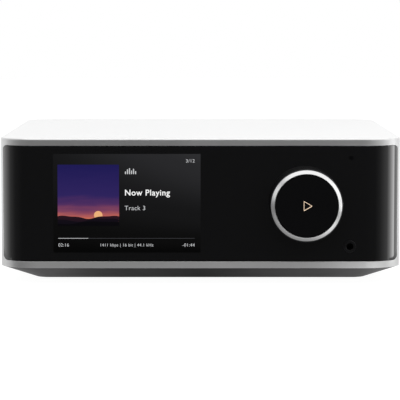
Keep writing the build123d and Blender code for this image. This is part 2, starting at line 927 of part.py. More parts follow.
with BuildPart() as inner_screws:
    for x, y in board_screws:
        screw(
            (x, y, board_z),
            (0, 0, 0),
            small_screw_head_radius,
            small_screw_head_height,
            small_screw_radius,
            small_screw_length,
        )
    for x, z in control_bosses:
        screw(
            (x, control_board_y + board_thickness, z),
            (-90, 0, 0),
            small_screw_head_radius,
            small_screw_head_height,
            small_screw_radius,
            small_screw_length,
        )
    for x, z in bracket_screws:
        screw(
            (x, bracket_y + bracket_thickness, z),
            (-90, 0, 0),
            small_screw_head_radius,
            small_screw_head_height,
            small_screw_radius,
            bracket_y + bracket_thickness - carrier_root_y,
        )
inner_screws.part.label = "inner_screws"
export_step(inner_screws.part, "parts/inner_screws.step")

with BuildPart() as rear_screw_set:
    for x, z in rear_screws:
        screw(
            (x, panel_face_y, z),
            (-90, 0, 0),
            small_screw_head_radius,
            small_screw_head_height,
            small_screw_radius,
            rear_screw_length,
        )
rear_screw_set.part.label = "rear_screws"
export_step(rear_screw_set.part, "parts/rear_screws.step")

# Main board and supply board on the tray's standoffs, each with a hole round the case post
post_hole_radius = case_post_radius + post_clearance

with BuildPart() as main_board:
    block(main_board_x, main_board_y, board_low_z, main_board_width, main_board_depth, board_thickness)
    for x, y in main_screws:
        pillar(x, y, board_low_z, small_pilot_radius, board_thickness, Mode.SUBTRACT)
    pillar(post_x, post_back_y, board_low_z, post_hole_radius, board_thickness, Mode.SUBTRACT)
main_board.part.label = "main_board"
export_step(main_board.part, "parts/main_board.step")

with BuildPart() as supply_board:
    block(
        supply_board_x,
        supply_board_y,
        board_low_z,
        supply_board_width,
        supply_board_depth,
        board_thickness,
    )
    for x, y in supply_screws:
        pillar(x, y, board_low_z, small_pilot_radius, board_thickness, Mode.SUBTRACT)
    pillar(-post_x, post_back_y, board_low_z, post_hole_radius, board_thickness, Mode.SUBTRACT)
supply_board.part.label = "supply_board"
export_step(supply_board.part, "parts/supply_board.step")


def on_board(x_share, y_share):
    """A place on the main board, as shares of its half width and half depth from its middle."""
    return (
        main_board_x + x_share * main_board_width / 2,
        main_board_y + y_share * main_board_depth / 2,
    )


def on_supply(x_share, y_share):
    """A place on the supply board, as shares of its half width and half depth from its middle."""
    return (
        supply_board_x + x_share * supply_board_width / 2,
        supply_board_y + y_share * supply_board_depth / 2,
    )


# Processor under a sheet shield with a finned heat sink on it, and the wireless module
processor_place_shares = (-0.21, -0.2)
module_place_shares = (-0.73, -0.32)
processor_x, processor_y = on_board(*processor_place_shares)
module_x, module_y = on_board(*module_place_shares)
shield_top_z = board_z + shield_height

with BuildPart() as processor_shield:
    block(processor_x, processor_y, board_z, shield_size, shield_size, shield_height)
    block(
        processor_x,
        processor_y,
        board_z,
        shield_size - 2 * shield_wall,
        shield_size - 2 * shield_wall,
        shield_height - shield_wall,
        Mode.SUBTRACT,
    )
processor_shield.part.label = "processor_shield"
export_step(processor_shield.part, "parts/processor_shield.step")

with BuildPart() as heat_sink:
    block(processor_x, processor_y, shield_top_z, sink_size, sink_size, sink_base)
    with BuildSketch(Plane.XY.offset(shield_top_z + sink_base)):
        with Locations((processor_x, processor_y)):
            fin_pitch = (sink_size - sink_fin_thickness) / (sink_fin_count - 1)
            with GridLocations(fin_pitch, 0, sink_fin_count, 1):
                Rectangle(sink_fin_thickness, sink_size)
    extrude(amount=sink_height - sink_base)
heat_sink.part.label = "heat_sink"
export_step(heat_sink.part, "parts/heat_sink.step")

with BuildPart() as wireless_module:
    block(module_x, module_y, board_z, module_width, module_depth, module_height)
    fillet(wireless_module.edges().filter_by(Axis.Z), chip_height)
wireless_module.part.label = "wireless_module"
export_step(wireless_module.part, "parts/wireless_module.step")

# Chips on the main board: converter, amplifiers, memory, controller, network and supply chips
chip_place_shares = [
    (0.4, 0.06),
    (0.3, 0.42),
    (0.52, 0.42),
    (0.3, 0.27),
    (0.52, 0.27),
    (0.18, -0.24),
    (0.18, -0.08),
    (0.56, -0.44),
    (-0.33, 0.52),
    (-0.71, 0.06),
    (-0.71, 0.24),
]

with BuildPart() as board_chips:
    for size, shares in zip(chip_sizes, chip_place_shares):
        block(*on_board(*shares), board_z, size, size, chip_height)
board_chips.part.label = "board_chips"
export_step(board_chips.part, "parts/board_chips.step")

small_can_place_shares = (0.4, 0.6)
small_can_x, small_can_y = on_board(*small_can_place_shares)

with BuildPart() as board_capacitors:
    with BuildSketch(Plane.XY.offset(board_z)):
        with Locations((small_can_x, small_can_y)):
            with GridLocations(small_can_pitch, small_can_pitch, small_can_columns, small_can_rows):
                Circle(small_can_radius)
    extrude(amount=small_can_height)
board_capacitors.part.label = "board_capacitors"
export_step(board_capacitors.part, "parts/board_capacitors.step")

# Connectors: two for the ribbons at the front of the main board, and two for the supply lead
ribbon_seat_share = -0.93
screen_connector_share = -0.68
control_connector_share = 0.52
supply_lead_share = -0.7
supply_plug_share = 0.75
main_plug_share = -0.88
screen_connector_x, connector_y = on_board(screen_connector_share, ribbon_seat_share)
control_connector_x = on_board(control_connector_share, ribbon_seat_share)[0]
supply_plug_x = on_supply(supply_plug_share, supply_lead_share)[0]
main_plug_x, lead_y = on_board(main_plug_share, supply_lead_share)
plug_top_z = board_z + supply_plug_height

with BuildPart() as board_connectors:
    for x in (screen_connector_x, control_connector_x):
        block(x, connector_y, board_z, ribbon_width + 2 * connector_end, connector_depth, connector_height)
        block(
            x,
            connector_y - connector_depth / 2,
            board_z + connector_height / 2 - ribbon_thickness,
            ribbon_width + 2 * fit_gap,
            connector_depth,
            2 * ribbon_thickness,
            Mode.SUBTRACT,
        )
    for x in (supply_plug_x, main_plug_x):
        block(x, lead_y, board_z, supply_plug_width, supply_plug_depth, supply_plug_height)
board_connectors.part.label = "board_connectors"
export_step(board_connectors.part, "parts/board_connectors.step")


def ribbon(x, start_y):
    """A flat cable: down the back of what it serves, round one bend, and into its connector."""
    seat_z = board_z + connector_height / 2
    with BuildSketch(Plane.YZ.offset(x - ribbon_width / 2)) as strip:
        with BuildLine():
            FilletPolyline(
                (start_y, seat_z + ribbon_drop),
                (start_y, seat_z),
                (connector_y, seat_z),
                radius=ribbon_bend_radius,
            )
        trace(line_width=ribbon_thickness)
    extrude(strip.sketch, amount=ribbon_width)


# Flat cables from the screen and from the control board to the main board
with BuildPart() as display_ribbon:
    ribbon(screen_connector_x, bracket_y + bracket_thickness + ribbon_thickness / 2)
display_ribbon.part.label = "display_ribbon"
export_step(display_ribbon.part, "parts/display_ribbon.step")

with BuildPart() as control_ribbon:
    ribbon(control_connector_x, control_board_y + board_thickness + ribbon_thickness / 2)
control_ribbon.part.label = "control_ribbon"
export_step(control_ribbon.part, "parts/control_ribbon.step")

# Supply lead: four wires side by side, up from one plug, over the gap, and down into the other
with BuildPart() as supply_lead:
    for i in range(lead_count):
        wire_y = lead_y + (i - (lead_count - 1) / 2) * lead_pitch
        with BuildLine() as wire_path:
            FilletPolyline(
                (supply_plug_x, wire_y, plug_top_z),
                (supply_plug_x, wire_y, plug_top_z + lead_rise),
                (main_plug_x, wire_y, plug_top_z + lead_rise),
                (main_plug_x, wire_y, plug_top_z),
                radius=lead_bend_radius,
            )
        with BuildSketch(Plane.XY.offset(plug_top_z)):
            with Locations((supply_plug_x, wire_y)):
                Circle(lead_radius)
        sweep(path=wire_path.line)
supply_lead.part.label = "supply_lead"
export_step(supply_lead.part, "parts/supply_lead.step")

# Antennas: a strip on the carrier between the screen and the knob, and one on the rear panel
bracket_right_x = screen_x + bracket_width / 2
first_boss_left_x = control_bosses[0][0] - carrier_boss_radius
front_antenna_x = (bracket_right_x + first_boss_left_x) / 2
rear_antenna_x = (optical_x + audio_columns[-1]) / 2
rear_antenna_z = rear_opening_high_z - antenna_width

with BuildPart() as antennas:
    slab(front_antenna_x, carrier_back_y, glass_mid_z, antenna_width, antenna_thickness, antenna_length)
    slab(
        rear_antenna_x,
        panel_inner_y - antenna_thickness,
        rear_antenna_z,
        antenna_length,
        antenna_thickness,
        antenna_width,
    )
antennas.part.label = "antennas"
export_step(antennas.part, "parts/antennas.step")

# Coaxial leads from the wireless module to both antennas, each on a route of its own
front_coax_route = [
    (front_antenna_x, carrier_back_y + antenna_thickness + coax_radius, glass_mid_z - antenna_length / 3),
    (19.2, -93.2, 23.0),
    (16.5, -86.0, 19.5),
    (9.0, -74.0, 20.5),
    (0.0, -58.0, 22.5),
    (-9.0, -40.0, 22.5),
    (-14.5, -25.0, 20.5),
    (module_x + module_width / 4, module_y - module_depth / 4, board_z + module_height + coax_radius),
]
rear_coax_route = [
    (rear_antenna_x, panel_inner_y - antenna_thickness - coax_radius, rear_antenna_z),
    (24.0, 90.5, 51.5),
    (18.0, 78.0, 49.0),
    (8.0, 64.0, 45.0),
    (-4.0, 50.0, 40.0),
    (-13.0, 36.0, 34.0),
    (-19.0, 22.0, 27.0),
    (-23.0, 8.0, 21.5),
    (module_x - module_width / 4, module_y + module_depth / 4, board_z + module_height + coax_radius),
]
coax_run_share = 0.45


def coax_radii(route):
    """Bend radii of a route: as large as the two runs beside each corner allow."""
    points = [Vector(*point) for point in route]
    radii = []
    for before, corner, after in zip(points, points[1:], points[2:]):
        into, out = corner - before, after - corner
        half_turn = math.radians(into.get_angle(out) / 2)
        radii.append(coax_run_share * min(into.length, out.length) / math.tan(half_turn))
    return radii


with BuildPart() as antenna_leads:
    for route in (front_coax_route, rear_coax_route):
        radii = coax_radii(route)
        print("coax bend radii", [round(radius, 1) for radius in radii])
        with BuildLine() as coax_path:
            FilletPolyline(*route, radius=radii)
        with BuildSketch(Plane(origin=coax_path.line @ 0, z_dir=coax_path.line % 0)):
            Circle(coax_radius)
        sweep(path=coax_path.line)
antenna_leads.part.label = "antenna_leads"
export_step(antenna_leads.part, "parts/antenna_leads.step")

# Supply board: line filter, bulk capacitor lying on its side, transformer, heat sink and outputs
filter_place_shares = (0.33, 0.58)
bulk_can_place_shares = (-0.52, 0.03)
transformer_place_shares = (0.43, 0.04)
supply_sink_place_shares = (-0.62, -0.46)
output_can_place_shares = (0.52, -0.58)
filter_x, filter_y = on_supply(*filter_place_shares)
bulk_can_x, bulk_can_y = on_supply(*bulk_can_place_shares)
transformer_x, transformer_y = on_supply(*transformer_place_shares)
supply_sink_x, supply_sink_y = on_supply(*supply_sink_place_shares)
output_can_x, output_can_y = on_supply(*output_can_place_shares)

with BuildPart() as line_filter:
    block(filter_x, filter_y, board_z, filter_width, filter_depth, filter_end_thickness)
    block(
        filter_x,
        filter_y,
        board_z,
        filter_width - 2 * filter_end_thickness,
        filter_depth - filter_end_thickness,
        filter_height,
    )
    block(
        filter_x,
        filter_y,
        board_z + filter_height - filter_end_thickness,
        filter_width,
        filter_depth,
        filter_end_thickness,
    )
line_filter.part.label = "line_filter"
export_step(line_filter.part, "parts/line_filter.step")

with BuildPart() as bulk_capacitor:
    rod(
        bulk_can_x,
        bulk_can_y - bulk_can_length / 2,
        board_z + bulk_can_radius,
        bulk_can_radius,
        bulk_can_length,
    )
    fillet(bulk_capacitor.edges().filter_by(GeomType.CIRCLE), bulk_can_edge_radius)
bulk_capacitor.part.label = "bulk_capacitor"
export_step(bulk_capacitor.part, "parts/bulk_capacitor.step")

with BuildPart() as power_transformer:
    block(
        transformer_x,
        transformer_y,
        board_z,
        transformer_core_width,
        transformer_depth,
        transformer_height,
    )
    block(
        transformer_x,
        transformer_y,
        board_z + (transformer_height - transformer_core_height) / 2,
        transformer_width,
        transformer_core_width,
        transformer_core_height,
    )
power_transformer.part.label = "power_transformer"
export_step(power_transformer.part, "parts/power_transformer.step")

with BuildPart() as supply_sink:
    block(
        supply_sink_x - (supply_sink_width - supply_sink_base) / 2,
        supply_sink_y,
        board_z,
        supply_sink_base,
        supply_sink_depth,
        supply_sink_height,
    )
    with BuildSketch(Plane.XY.offset(board_z)):
        with Locations((supply_sink_x, supply_sink_y)):
            supply_fin_pitch = (supply_sink_depth - supply_sink_fin_thickness) / (supply_sink_fin_count - 1)
            with GridLocations(0, supply_fin_pitch, 1, supply_sink_fin_count):
                Rectangle(supply_sink_width, supply_sink_fin_thickness)
    extrude(amount=supply_sink_height)
supply_sink.part.label = "supply_sink"
export_step(supply_sink.part, "parts/supply_sink.step")

with BuildPart() as output_capacitors:
    for i in range(output_can_count):
        can_y = output_can_y + i * output_can_pitch
        pillar(output_can_x, can_y, board_z, output_can_radius, output_can_height)
output_capacitors.part.label = "output_capacitors"
export_step(output_capacitors.part, "parts/output_capacitors.step")

# Rear panel: a plate in the rear opening with a flange behind the wall, and the socket holes
panel_cut = rear_panel_wall + overrun
vent_x = vent_from_side - half_width
vent_z = board_z + vent_rise + vent_height / 2
square_sockets = [
    (inlet_x, inlet_z, inlet_width, inlet_height),
    (video_x, video_z, video_width, video_height),
    (usb_x, usb_z, usb_width, usb_height),
    (network_x, network_z, network_width, network_height),
    (optical_x, optical_z, optical_width, optical_height),
]

with BuildPart() as rear_panel:
    with BuildSketch(facing_front(0, panel_face_y, rear_opening_mid_z)):
        RectangleRounded(
            rear_opening_width - 2 * fit_gap,
            rear_opening_height - 2 * fit_gap,
            rear_opening_corner - fit_gap,
        )
    extrude(amount=rear_panel_wall)
    with BuildSketch(facing_front(0, back_y - side_wall - fit_gap, rear_opening_mid_z)):
        Rectangle(
            rear_opening_width + 2 * rear_flange_width,
            rear_opening_height + rear_flange_width,
        )
    extrude(amount=back_y - side_wall - fit_gap - panel_inner_y)
    for x, z, width, height in square_sockets:
        slab(x, panel_inner_y, z, width + 2 * fit_gap, panel_cut, height + 2 * fit_gap, Mode.SUBTRACT)
    rod(trigger_x, panel_inner_y, trigger_z, trigger_collar_radius + fit_gap, panel_cut, Mode.SUBTRACT)
    for x, z in audio_sockets:
        rod(x, panel_inner_y, z, audio_collar_radius + fit_gap, panel_cut, Mode.SUBTRACT)
    rod(ground_x, panel_inner_y, ground_z, ground_post_radius + fit_gap, panel_cut, Mode.SUBTRACT)
    for x, z in rear_screws:
        rod(x, panel_inner_y, z, small_pilot_radius, panel_cut, Mode.SUBTRACT)
    with BuildSketch(facing_front(vent_x, panel_face_y, vent_z)):
        for i in range(vent_count):
            with Locations((i * vent_pitch, 0)):
                SlotOverall(vent_height, vent_width, rotation=90)
    extrude(amount=rear_panel_wall, mode=Mode.SUBTRACT)
rear_panel.part.label = "rear_panel"
export_step(rear_panel.part, "parts/rear_panel.step")

# Mains inlet with its two pins, and lugs behind the panel for its screws
with BuildPart() as mains_inlet:
    slab(inlet_x, socket_face_y - inlet_depth, inlet_z, inlet_width, inlet_depth, inlet_height)
    slab(
        inlet_x,
        panel_inner_y - inlet_screw_lug,
        inlet_z,
        inlet_screw_spacing + 2 * small_screw_head_radius,
        inlet_screw_lug,
        2 * small_screw_head_radius + small_screw_head_height,
    )
    with BuildSketch(facing_front(inlet_x, socket_face_y, inlet_z)):
        SlotOverall(inlet_recess_width, inlet_recess_height)
    extrude(amount=inlet_recess_depth, mode=Mode.SUBTRACT)
    for side in (-1, 1):
        rod(
            inlet_x + side * inlet_pin_pitch / 2,
            socket_face_y - inlet_depth,
            inlet_z,
            inlet_pin_radius,
            inlet_depth,
            Mode.SUBTRACT,
        )
    for x, z in rear_screws[:2]:
        rod(x, panel_inner_y - inlet_screw_lug, z, small_pilot_radius, inlet_screw_lug, Mode.SUBTRACT)
mains_inlet.part.label = "mains_inlet"
export_step(mains_inlet.part, "parts/mains_inlet.step")

with BuildPart() as inlet_pins:
    for side in (-1, 1):
        rod(
            inlet_x + side * inlet_pin_pitch / 2,
            socket_face_y - inlet_depth,
            inlet_z,
            inlet_pin_radius,
            inlet_depth - inlet_recess_depth + inlet_pin_reach,
        )
    fillet(inlet_pins.edges().filter_by(GeomType.CIRCLE).group_by(Axis.Y)[-1], inlet_pin_radius / 2)
inlet_pins.part.label = "inlet_pins"
export_step(inlet_pins.part, "parts/inlet_pins.step")

# Trigger jack, its collar in the panel
trigger_back_y = socket_face_y - trigger_depth

with BuildPart() as trigger_jack:
    slab(
        trigger_x,
        trigger_back_y,
        trigger_z,
        trigger_width,
        panel_inner_y - trigger_back_y,
        trigger_height,
    )
    rod(trigger_x, panel_inner_y, trigger_z, trigger_collar_radius, socket_face_y - panel_inner_y)
    rod(
        trigger_x,
        socket_face_y - plug_bore_length,
        trigger_z,
        plug_bore_radius,
        plug_bore_length,
        Mode.SUBTRACT,
    )
trigger_jack.part.label = "trigger_jack"
export_step(trigger_jack.part, "parts/trigger_jack.step")

# Video and USB sockets: sheet shells, and the tongues that stand in them
with BuildPart() as video_socket:
    slab(video_x, socket_face_y - video_depth, video_z, video_width, video_depth, video_height)
    slab(
        video_x,
        socket_face_y - video_depth + video_wall,
        video_z,
        video_width - 2 * video_wall,
        video_depth - video_wall,
        video_height - 2 * video_wall,
        Mode.SUBTRACT,
    )
video_socket.part.label = "video_socket"
export_step(video_socket.part, "parts/video_socket.step")

with BuildPart() as usb_socket:
    slab(usb_x, socket_face_y - usb_depth, usb_z, usb_width, usb_depth, usb_height)
    slab(
        usb_x,
        socket_face_y - usb_depth + usb_wall,
        usb_z,
        usb_width - 2 * usb_wall,
        usb_depth - usb_wall,
        usb_height - 2 * usb_wall,
        Mode.SUBTRACT,
    )
usb_socket.part.label = "usb_socket"
export_step(usb_socket.part, "parts/usb_socket.step")

with BuildPart() as socket_tongues:
    slab(
        video_x,
        socket_face_y - video_depth + video_wall,
        video_z,
        socket_tongue_share * video_width,
        socket_tongue_share * video_depth,
        video_tongue_thickness,
    )
    slab(
        usb_x,
        socket_face_y - usb_depth + usb_wall,
        usb_z + usb_height / 2 - usb_wall - usb_tongue_thickness,
        socket_tongue_share * usb_width,
        socket_tongue_share * usb_depth,
        usb_tongue_thickness,
    )
socket_tongues.part.label = "socket_tongues"
export_step(socket_tongues.part, "parts/socket_tongues.step")

# Network socket, with a notch over the recess for the plug's latch
with BuildPart() as network_socket:
    slab(network_x, socket_face_y - network_depth, network_z, network_width, network_depth, network_height)
    slab(
        network_x,
        socket_face_y - network_recess_depth,
        network_z,
        network_recess_width,
        network_recess_depth,
        network_recess_height,
        Mode.SUBTRACT,
    )
    slab(
        network_x,
        socket_face_y - network_recess_depth,
        network_z - (network_recess_height + network_latch_height) / 2,
        network_latch_width,
        network_recess_depth,
        network_latch_height,
        Mode.SUBTRACT,
    )
network_socket.part.label = "network_socket"
export_step(network_socket.part, "parts/network_socket.step")

# Optical tower: two cavities, each with a square mouth and bearings for its flap's pin
cavity_height = optical_cavity_above + optical_cavity_below
flap_pin_length = flap_width + 2 * flap_pin_reach
flap_hinge_y = socket_face_y - optical_face_thickness - flap_hinge_setback

with BuildPart() as optical_tower:
    slab(
        optical_x,
        socket_face_y - optical_depth,
        optical_z,
        optical_width,
        optical_depth,
        optical_height,
    )
    for z in optical_rows:
        slab(
            optical_x,
            socket_face_y - optical_face_thickness - optical_cavity_depth,
            z + (optical_cavity_above - optical_cavity_below) / 2,
            optical_cavity_width,
            optical_cavity_depth,
            cavity_height,
            Mode.SUBTRACT,
        )
        slab(
            optical_x,
            socket_face_y - optical_face_thickness,
            z,
            optical_mouth,
            optical_face_thickness,
            optical_mouth,
            Mode.SUBTRACT,
        )
        with Locations(Location((optical_x, flap_hinge_y, z + flap_hinge_rise), (0, 90, 0))):
            Cylinder(flap_pin_radius + running_gap, flap_pin_length + 2 * fit_gap, mode=Mode.SUBTRACT)
optical_tower.part.label = "optical_tower"
export_step(optical_tower.part, "parts/optical_tower.step")


def flap(z):
    """A shutter flap hanging from its pin, over the mouth whose middle is at this height."""
    hinge_z = z + flap_hinge_rise
    slab(
        optical_x,
        flap_hinge_y - flap_thickness / 2,
        hinge_z - flap_length / 2,
        flap_width,
        flap_thickness,
        flap_length,
    )
    with Locations(Location((optical_x, flap_hinge_y, hinge_z), (0, 90, 0))):
        Cylinder(flap_knuckle_radius, flap_width)
        Cylinder(flap_pin_radius, flap_pin_length)


with BuildPart() as lower_optical_flap:
    flap(optical_rows[0])
lower_optical_flap.part.label = "lower_optical_flap"
export_step(lower_optical_flap.part, "parts/lower_optical_flap.step")

with BuildPart() as upper_optical_flap:
    flap(optical_rows[1])
upper_optical_flap.part.label = "upper_optical_flap"
export_step(upper_optical_flap.part, "parts/upper_optical_flap.step")

# Round audio sockets: moulded stacks on the board, insulating cores, and metal sleeves
audio_face_y = panel_face_y + audio_sleeve_reach

with BuildPart() as audio_blocks:
    for x in audio_columns:
        block(
            x,
            panel_inner_y - audio_block_depth / 2,
            board_z,
            audio_block_width,
            audio_block_depth,
            audio_rows[-1] + audio_block_above - board_z,
        )
    for x, z in audio_sockets:
        rod(x, panel_inner_y, z, audio_collar_radius, socket_face_y - panel_inner_y)
    for x, z in rear_screws[2:]:
        rod(x, panel_inner_y - rear_screw_length, z, small_pilot_radius, rear_screw_length, Mode.SUBTRACT)
audio_blocks.part.label = "audio_blocks"
export_step(audio_blocks.part, "parts/audio_blocks.step")

with BuildPart() as audio_cores:
    for x, z in audio_sockets:
        rod(
            x,
            socket_face_y,
            z,
            audio_sleeve_radius - audio_sleeve_wall,
            audio_face_y - audio_core_recess - socket_face_y,
        )
        rod(
            x,
            audio_face_y - audio_core_recess - audio_core_bore_depth,
            z,
            audio_core_bore_radius,
            audio_core_bore_depth,
            Mode.SUBTRACT,
        )
audio_cores.part.label = "audio_cores"
export_step(audio_cores.part, "parts/audio_cores.step")

with BuildPart() as audio_sleeves:
    with BuildSketch(facing_front(0, audio_face_y, 0)):
        with Locations(*audio_sockets):
            Circle(audio_sleeve_radius)
            Circle(audio_sleeve_radius - audio_sleeve_wall, mode=Mode.SUBTRACT)
    extrude(amount=audio_face_y - socket_face_y)
audio_sleeves.part.label = "audio_sleeves"
export_step(audio_sleeves.part, "parts/audio_sleeves.step")

# Ground terminal: a threaded post with a collar, clamped by a nut behind the panel
collar_top_y = panel_face_y + ground_collar_height
post_end_y = collar_top_y + ground_post_reach

post_start_y = panel_inner_y - ground_inner_nut_height

with BuildPart() as ground_post:
    rod(ground_x, post_start_y, ground_z, ground_post_radius, post_end_y - post_start_y)
    rod(ground_x, post_start_y, ground_z, ground_inner_nut_radius, ground_inner_nut_height)
    rod(ground_x, panel_face_y, ground_z, ground_collar_radius, ground_collar_height)
ground_post.part.label = "ground_post"
export_step(ground_post.part, "parts/ground_post.step")

with BuildPart() as ground_washer:
    rod(ground_x, collar_top_y, ground_z, ground_washer_radius, ground_washer_thickness)
    rod(
        ground_x,
        collar_top_y,
        ground_z,
        ground_post_radius + fit_gap,
        ground_washer_thickness,
        Mode.SUBTRACT,
    )
ground_washer.part.label = "ground_washer"
export_step(ground_washer.part, "parts/ground_washer.step")

nut_start_y = collar_top_y + ground_washer_thickness

with BuildPart() as ground_nut:
    rod(ground_x, nut_start_y, ground_z, ground_nut_radius, ground_nut_height)
    chamfer(ground_nut.edges().filter_by(GeomType.CIRCLE), ground_nut_edge)
    with BuildSketch(facing_front(ground_x, nut_start_y, ground_z)):
        with PolarLocations(ground_nut_radius, ground_knurl_count):
            Circle(ground_knurl_radius)
    extrude(amount=-ground_nut_height, mode=Mode.SUBTRACT)
    rod(
        ground_x,
        nut_start_y,
        ground_z,
        ground_post_radius + running_gap,
        ground_nut_height,
        Mode.SUBTRACT,
    )
ground_nut.part.label = "ground_nut"
export_step(ground_nut.part, "parts/ground_nut.step")
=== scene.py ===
import json
import math

import bmesh
import bpy
import numpy as np
from mathutils import Matrix, Vector


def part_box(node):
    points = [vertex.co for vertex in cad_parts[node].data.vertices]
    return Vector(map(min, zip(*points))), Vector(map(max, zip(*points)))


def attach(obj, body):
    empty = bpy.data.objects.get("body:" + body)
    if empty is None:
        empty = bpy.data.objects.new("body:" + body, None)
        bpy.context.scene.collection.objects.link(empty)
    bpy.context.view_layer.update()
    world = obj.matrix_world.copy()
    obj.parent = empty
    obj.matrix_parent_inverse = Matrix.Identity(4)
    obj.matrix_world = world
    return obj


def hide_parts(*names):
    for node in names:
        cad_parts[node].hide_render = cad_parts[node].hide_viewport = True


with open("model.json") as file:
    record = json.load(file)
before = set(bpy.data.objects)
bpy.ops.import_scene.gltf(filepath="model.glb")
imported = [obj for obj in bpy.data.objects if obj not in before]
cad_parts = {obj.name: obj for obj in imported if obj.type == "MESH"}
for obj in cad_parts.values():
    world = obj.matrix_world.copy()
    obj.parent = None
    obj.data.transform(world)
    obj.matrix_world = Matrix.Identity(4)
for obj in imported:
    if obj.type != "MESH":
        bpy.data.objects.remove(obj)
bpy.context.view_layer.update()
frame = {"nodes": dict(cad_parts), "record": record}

# A network music streamer in its studio: the finishes of the case, the glass, the screen's
# picture, the turned knob and the small fittings. Lengths are in metres, in the frame's axes:
# +Z is up, +Y is to the back, and the case stands on z = 0.

MM = 0.001

# Places read from the frame
case_low, case_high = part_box("housing")
panel_low, panel_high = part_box("display_panel")
ring_low, ring_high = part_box("knob_ring")
CASE_FRONT = case_low.y
CASE_BACK = case_high.y
GLASS_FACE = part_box("front_glass")[0].y
KNOB_X = (ring_low.x + ring_high.x) / 2
KNOB_Z = (ring_low.z + ring_high.z) / 2

# The lit page, a hair left of the panel's middle. Its pieces are thin plates in layers before the glass
PAGE_SHIFT = 0.27 * MM
PAGE_X = (panel_low.x + panel_high.x) / 2 - PAGE_SHIFT
PAGE_Z = (panel_low.z + panel_high.z) / 2
PAGE_WIDTH = 72.9 * MM
PAGE_HEIGHT = 48.96 * MM
PAGE_CORNER = 0.3 * MM
PAGE_LEFT = PAGE_X - PAGE_WIDTH / 2
PAGE_RIGHT = PAGE_X + PAGE_WIDTH / 2
PAGE_BOTTOM = PAGE_Z - PAGE_HEIGHT / 2
PAGE_TOP = PAGE_Z + PAGE_HEIGHT / 2
PAGE_LIFT = 0.02 * MM
PLATE_THICKNESS = 0.012 * MM
LAYER_PITCH = 0.0144 * MM
LEFT_MARGIN = 2.4 * MM
RIGHT_MARGIN = 2.85 * MM
ROW_LEFT = PAGE_LEFT + LEFT_MARGIN
ROW_RIGHT = PAGE_RIGHT - RIGHT_MARGIN

# The cover picture, with the sun's place and the dunes' heights as shares of its side
COVER_SIDE = 30.4 * MM
COVER_CORNER = 0.2 * MM
COVER_FROM_LEFT = 2.2 * MM
COVER_FROM_TOP = 5.3 * MM
COVER_LEFT = PAGE_LEFT + COVER_FROM_LEFT
COVER_TOP = PAGE_TOP - COVER_FROM_TOP
COVER_BOTTOM = COVER_TOP - COVER_SIDE
SUN_ACROSS = 0.66
SUN_UP = 0.175
SUN_WIDTH = 4.2 * MM
SUN_CORNER = 2.09 * MM
DUNE_SHADE_HEIGHT = 0.3
DUNE_RIPPLE = 0.35
DUNE_RIPPLE_RATE = 2.3

# The progress bar, the level bars and the lettering
BAR_FROM_BOTTOM = 7.1 * MM
BAR_THICKNESS = 0.23 * MM
TRACK_THICKNESS = BAR_THICKNESS * 0.7
BAR_PLAYED_SHARE = 0.22
TEXT_FROM_BOTTOM = 3.7 * MM
COUNT_FROM_TOP = 3.5 * MM
TITLE_FROM_TOP = 19.3 * MM
TRACK_FROM_TOP = 26.9 * MM
COLUMN_X = COVER_LEFT + COVER_SIDE + 2.7 * MM
SMALL_TEXT = 2.25 * MM
RATE_TEXT = SMALL_TEXT * 0.92
COUNT_TEXT = SMALL_TEXT * 1.05
TITLE_TEXT = 4.1 * MM
TITLE_WEIGHT = 0.06 * MM
TRACK_TEXT = 3.1 * MM
LETTER_SPACING = 1.08
LEVEL_SHARES = (0.45, 0.8, 1.0, 0.6, 0.9, 0.5)
LEVELS_FROM_TOP = 10.0 * MM
LEVELS_FROM_COLUMN = 0.5 * MM
LEVEL_HEIGHT = 3.0 * MM
LEVEL_WIDTH = 0.55 * MM
LEVEL_CORNER = 0.25 * MM
LEVEL_PITCH = 1.0 * MM


# Colours

def rgb(red, green, blue):
    """A colour written as linear light, from 0 to 1."""
    return (red, green, blue, 1.0)


def grey(value):
    """A grey written as linear light."""
    return rgb(value, value, value)


def shown(red, green, blue):
    """A colour written as screen values from 0 to 255, turned into linear light."""
    def linear(value):
        """One channel: a straight run near black, and a power of the share above it."""
        share = value / 255
        return share / 12.92 if share <= 0.04045 else ((share + 0.055) / 1.055) ** 2.4
    return rgb(linear(red), linear(green), linear(blue))


def paler(shade, gain, lift=0.0):
    """The shade with each channel times the gain, plus the lift, and at most 1."""
    return rgb(*(min(1.0, value * gain + lift) for value in shade[:3]))


BLACK = grey(0.0)


# Node building

MIX_SHARE, MIX_FIRST, MIX_SECOND = 0, 6, 7        # a Mix node's inputs for colours
MIX_RESULT = 2                                    # and its output


def add(tree, kind, links=None, **settings):
    """Adds a node, sets its settings, and gives each named socket a value or a link."""
    made = tree.nodes.new(kind)
    for name, value in settings.items():
        setattr(made, name, value)
    for name, value in (links or {}).items():
        socket = made.inputs[name]
        if isinstance(value, bpy.types.NodeSocket):
            tree.links.new(value, socket)
        else:
            socket.default_value = value
    return made


def arithmetic(tree, operation, first, second=0.0, third=0.0, clamp=False):
    """One Math node's result."""
    links = {0: first, 1: second, 2: third}
    return add(tree, "ShaderNodeMath", links, operation=operation, use_clamp=clamp).outputs[0]


def ramp(tree, share, stops, smooth=False):
    """A colour ramp over the share, with stops of (place, colour)."""
    made = add(tree, "ShaderNodeValToRGB", {"Fac": share})
    made.color_ramp.interpolation = "EASE" if smooth else "LINEAR"
    elements = made.color_ramp.elements
    for place, _ in stops[1:-1]:
        elements.new(place)
    for element, (place, shade) in zip(elements, stops):
        element.position = place
        element.color = shade
    return made.outputs["Color"]


def light_ramp(tree, share, levels, smooth=False):
    """A ramp of plain light over the share, with stops of (place, level)."""
    return ramp(tree, share, [(place, grey(level)) for place, level in levels], smooth)


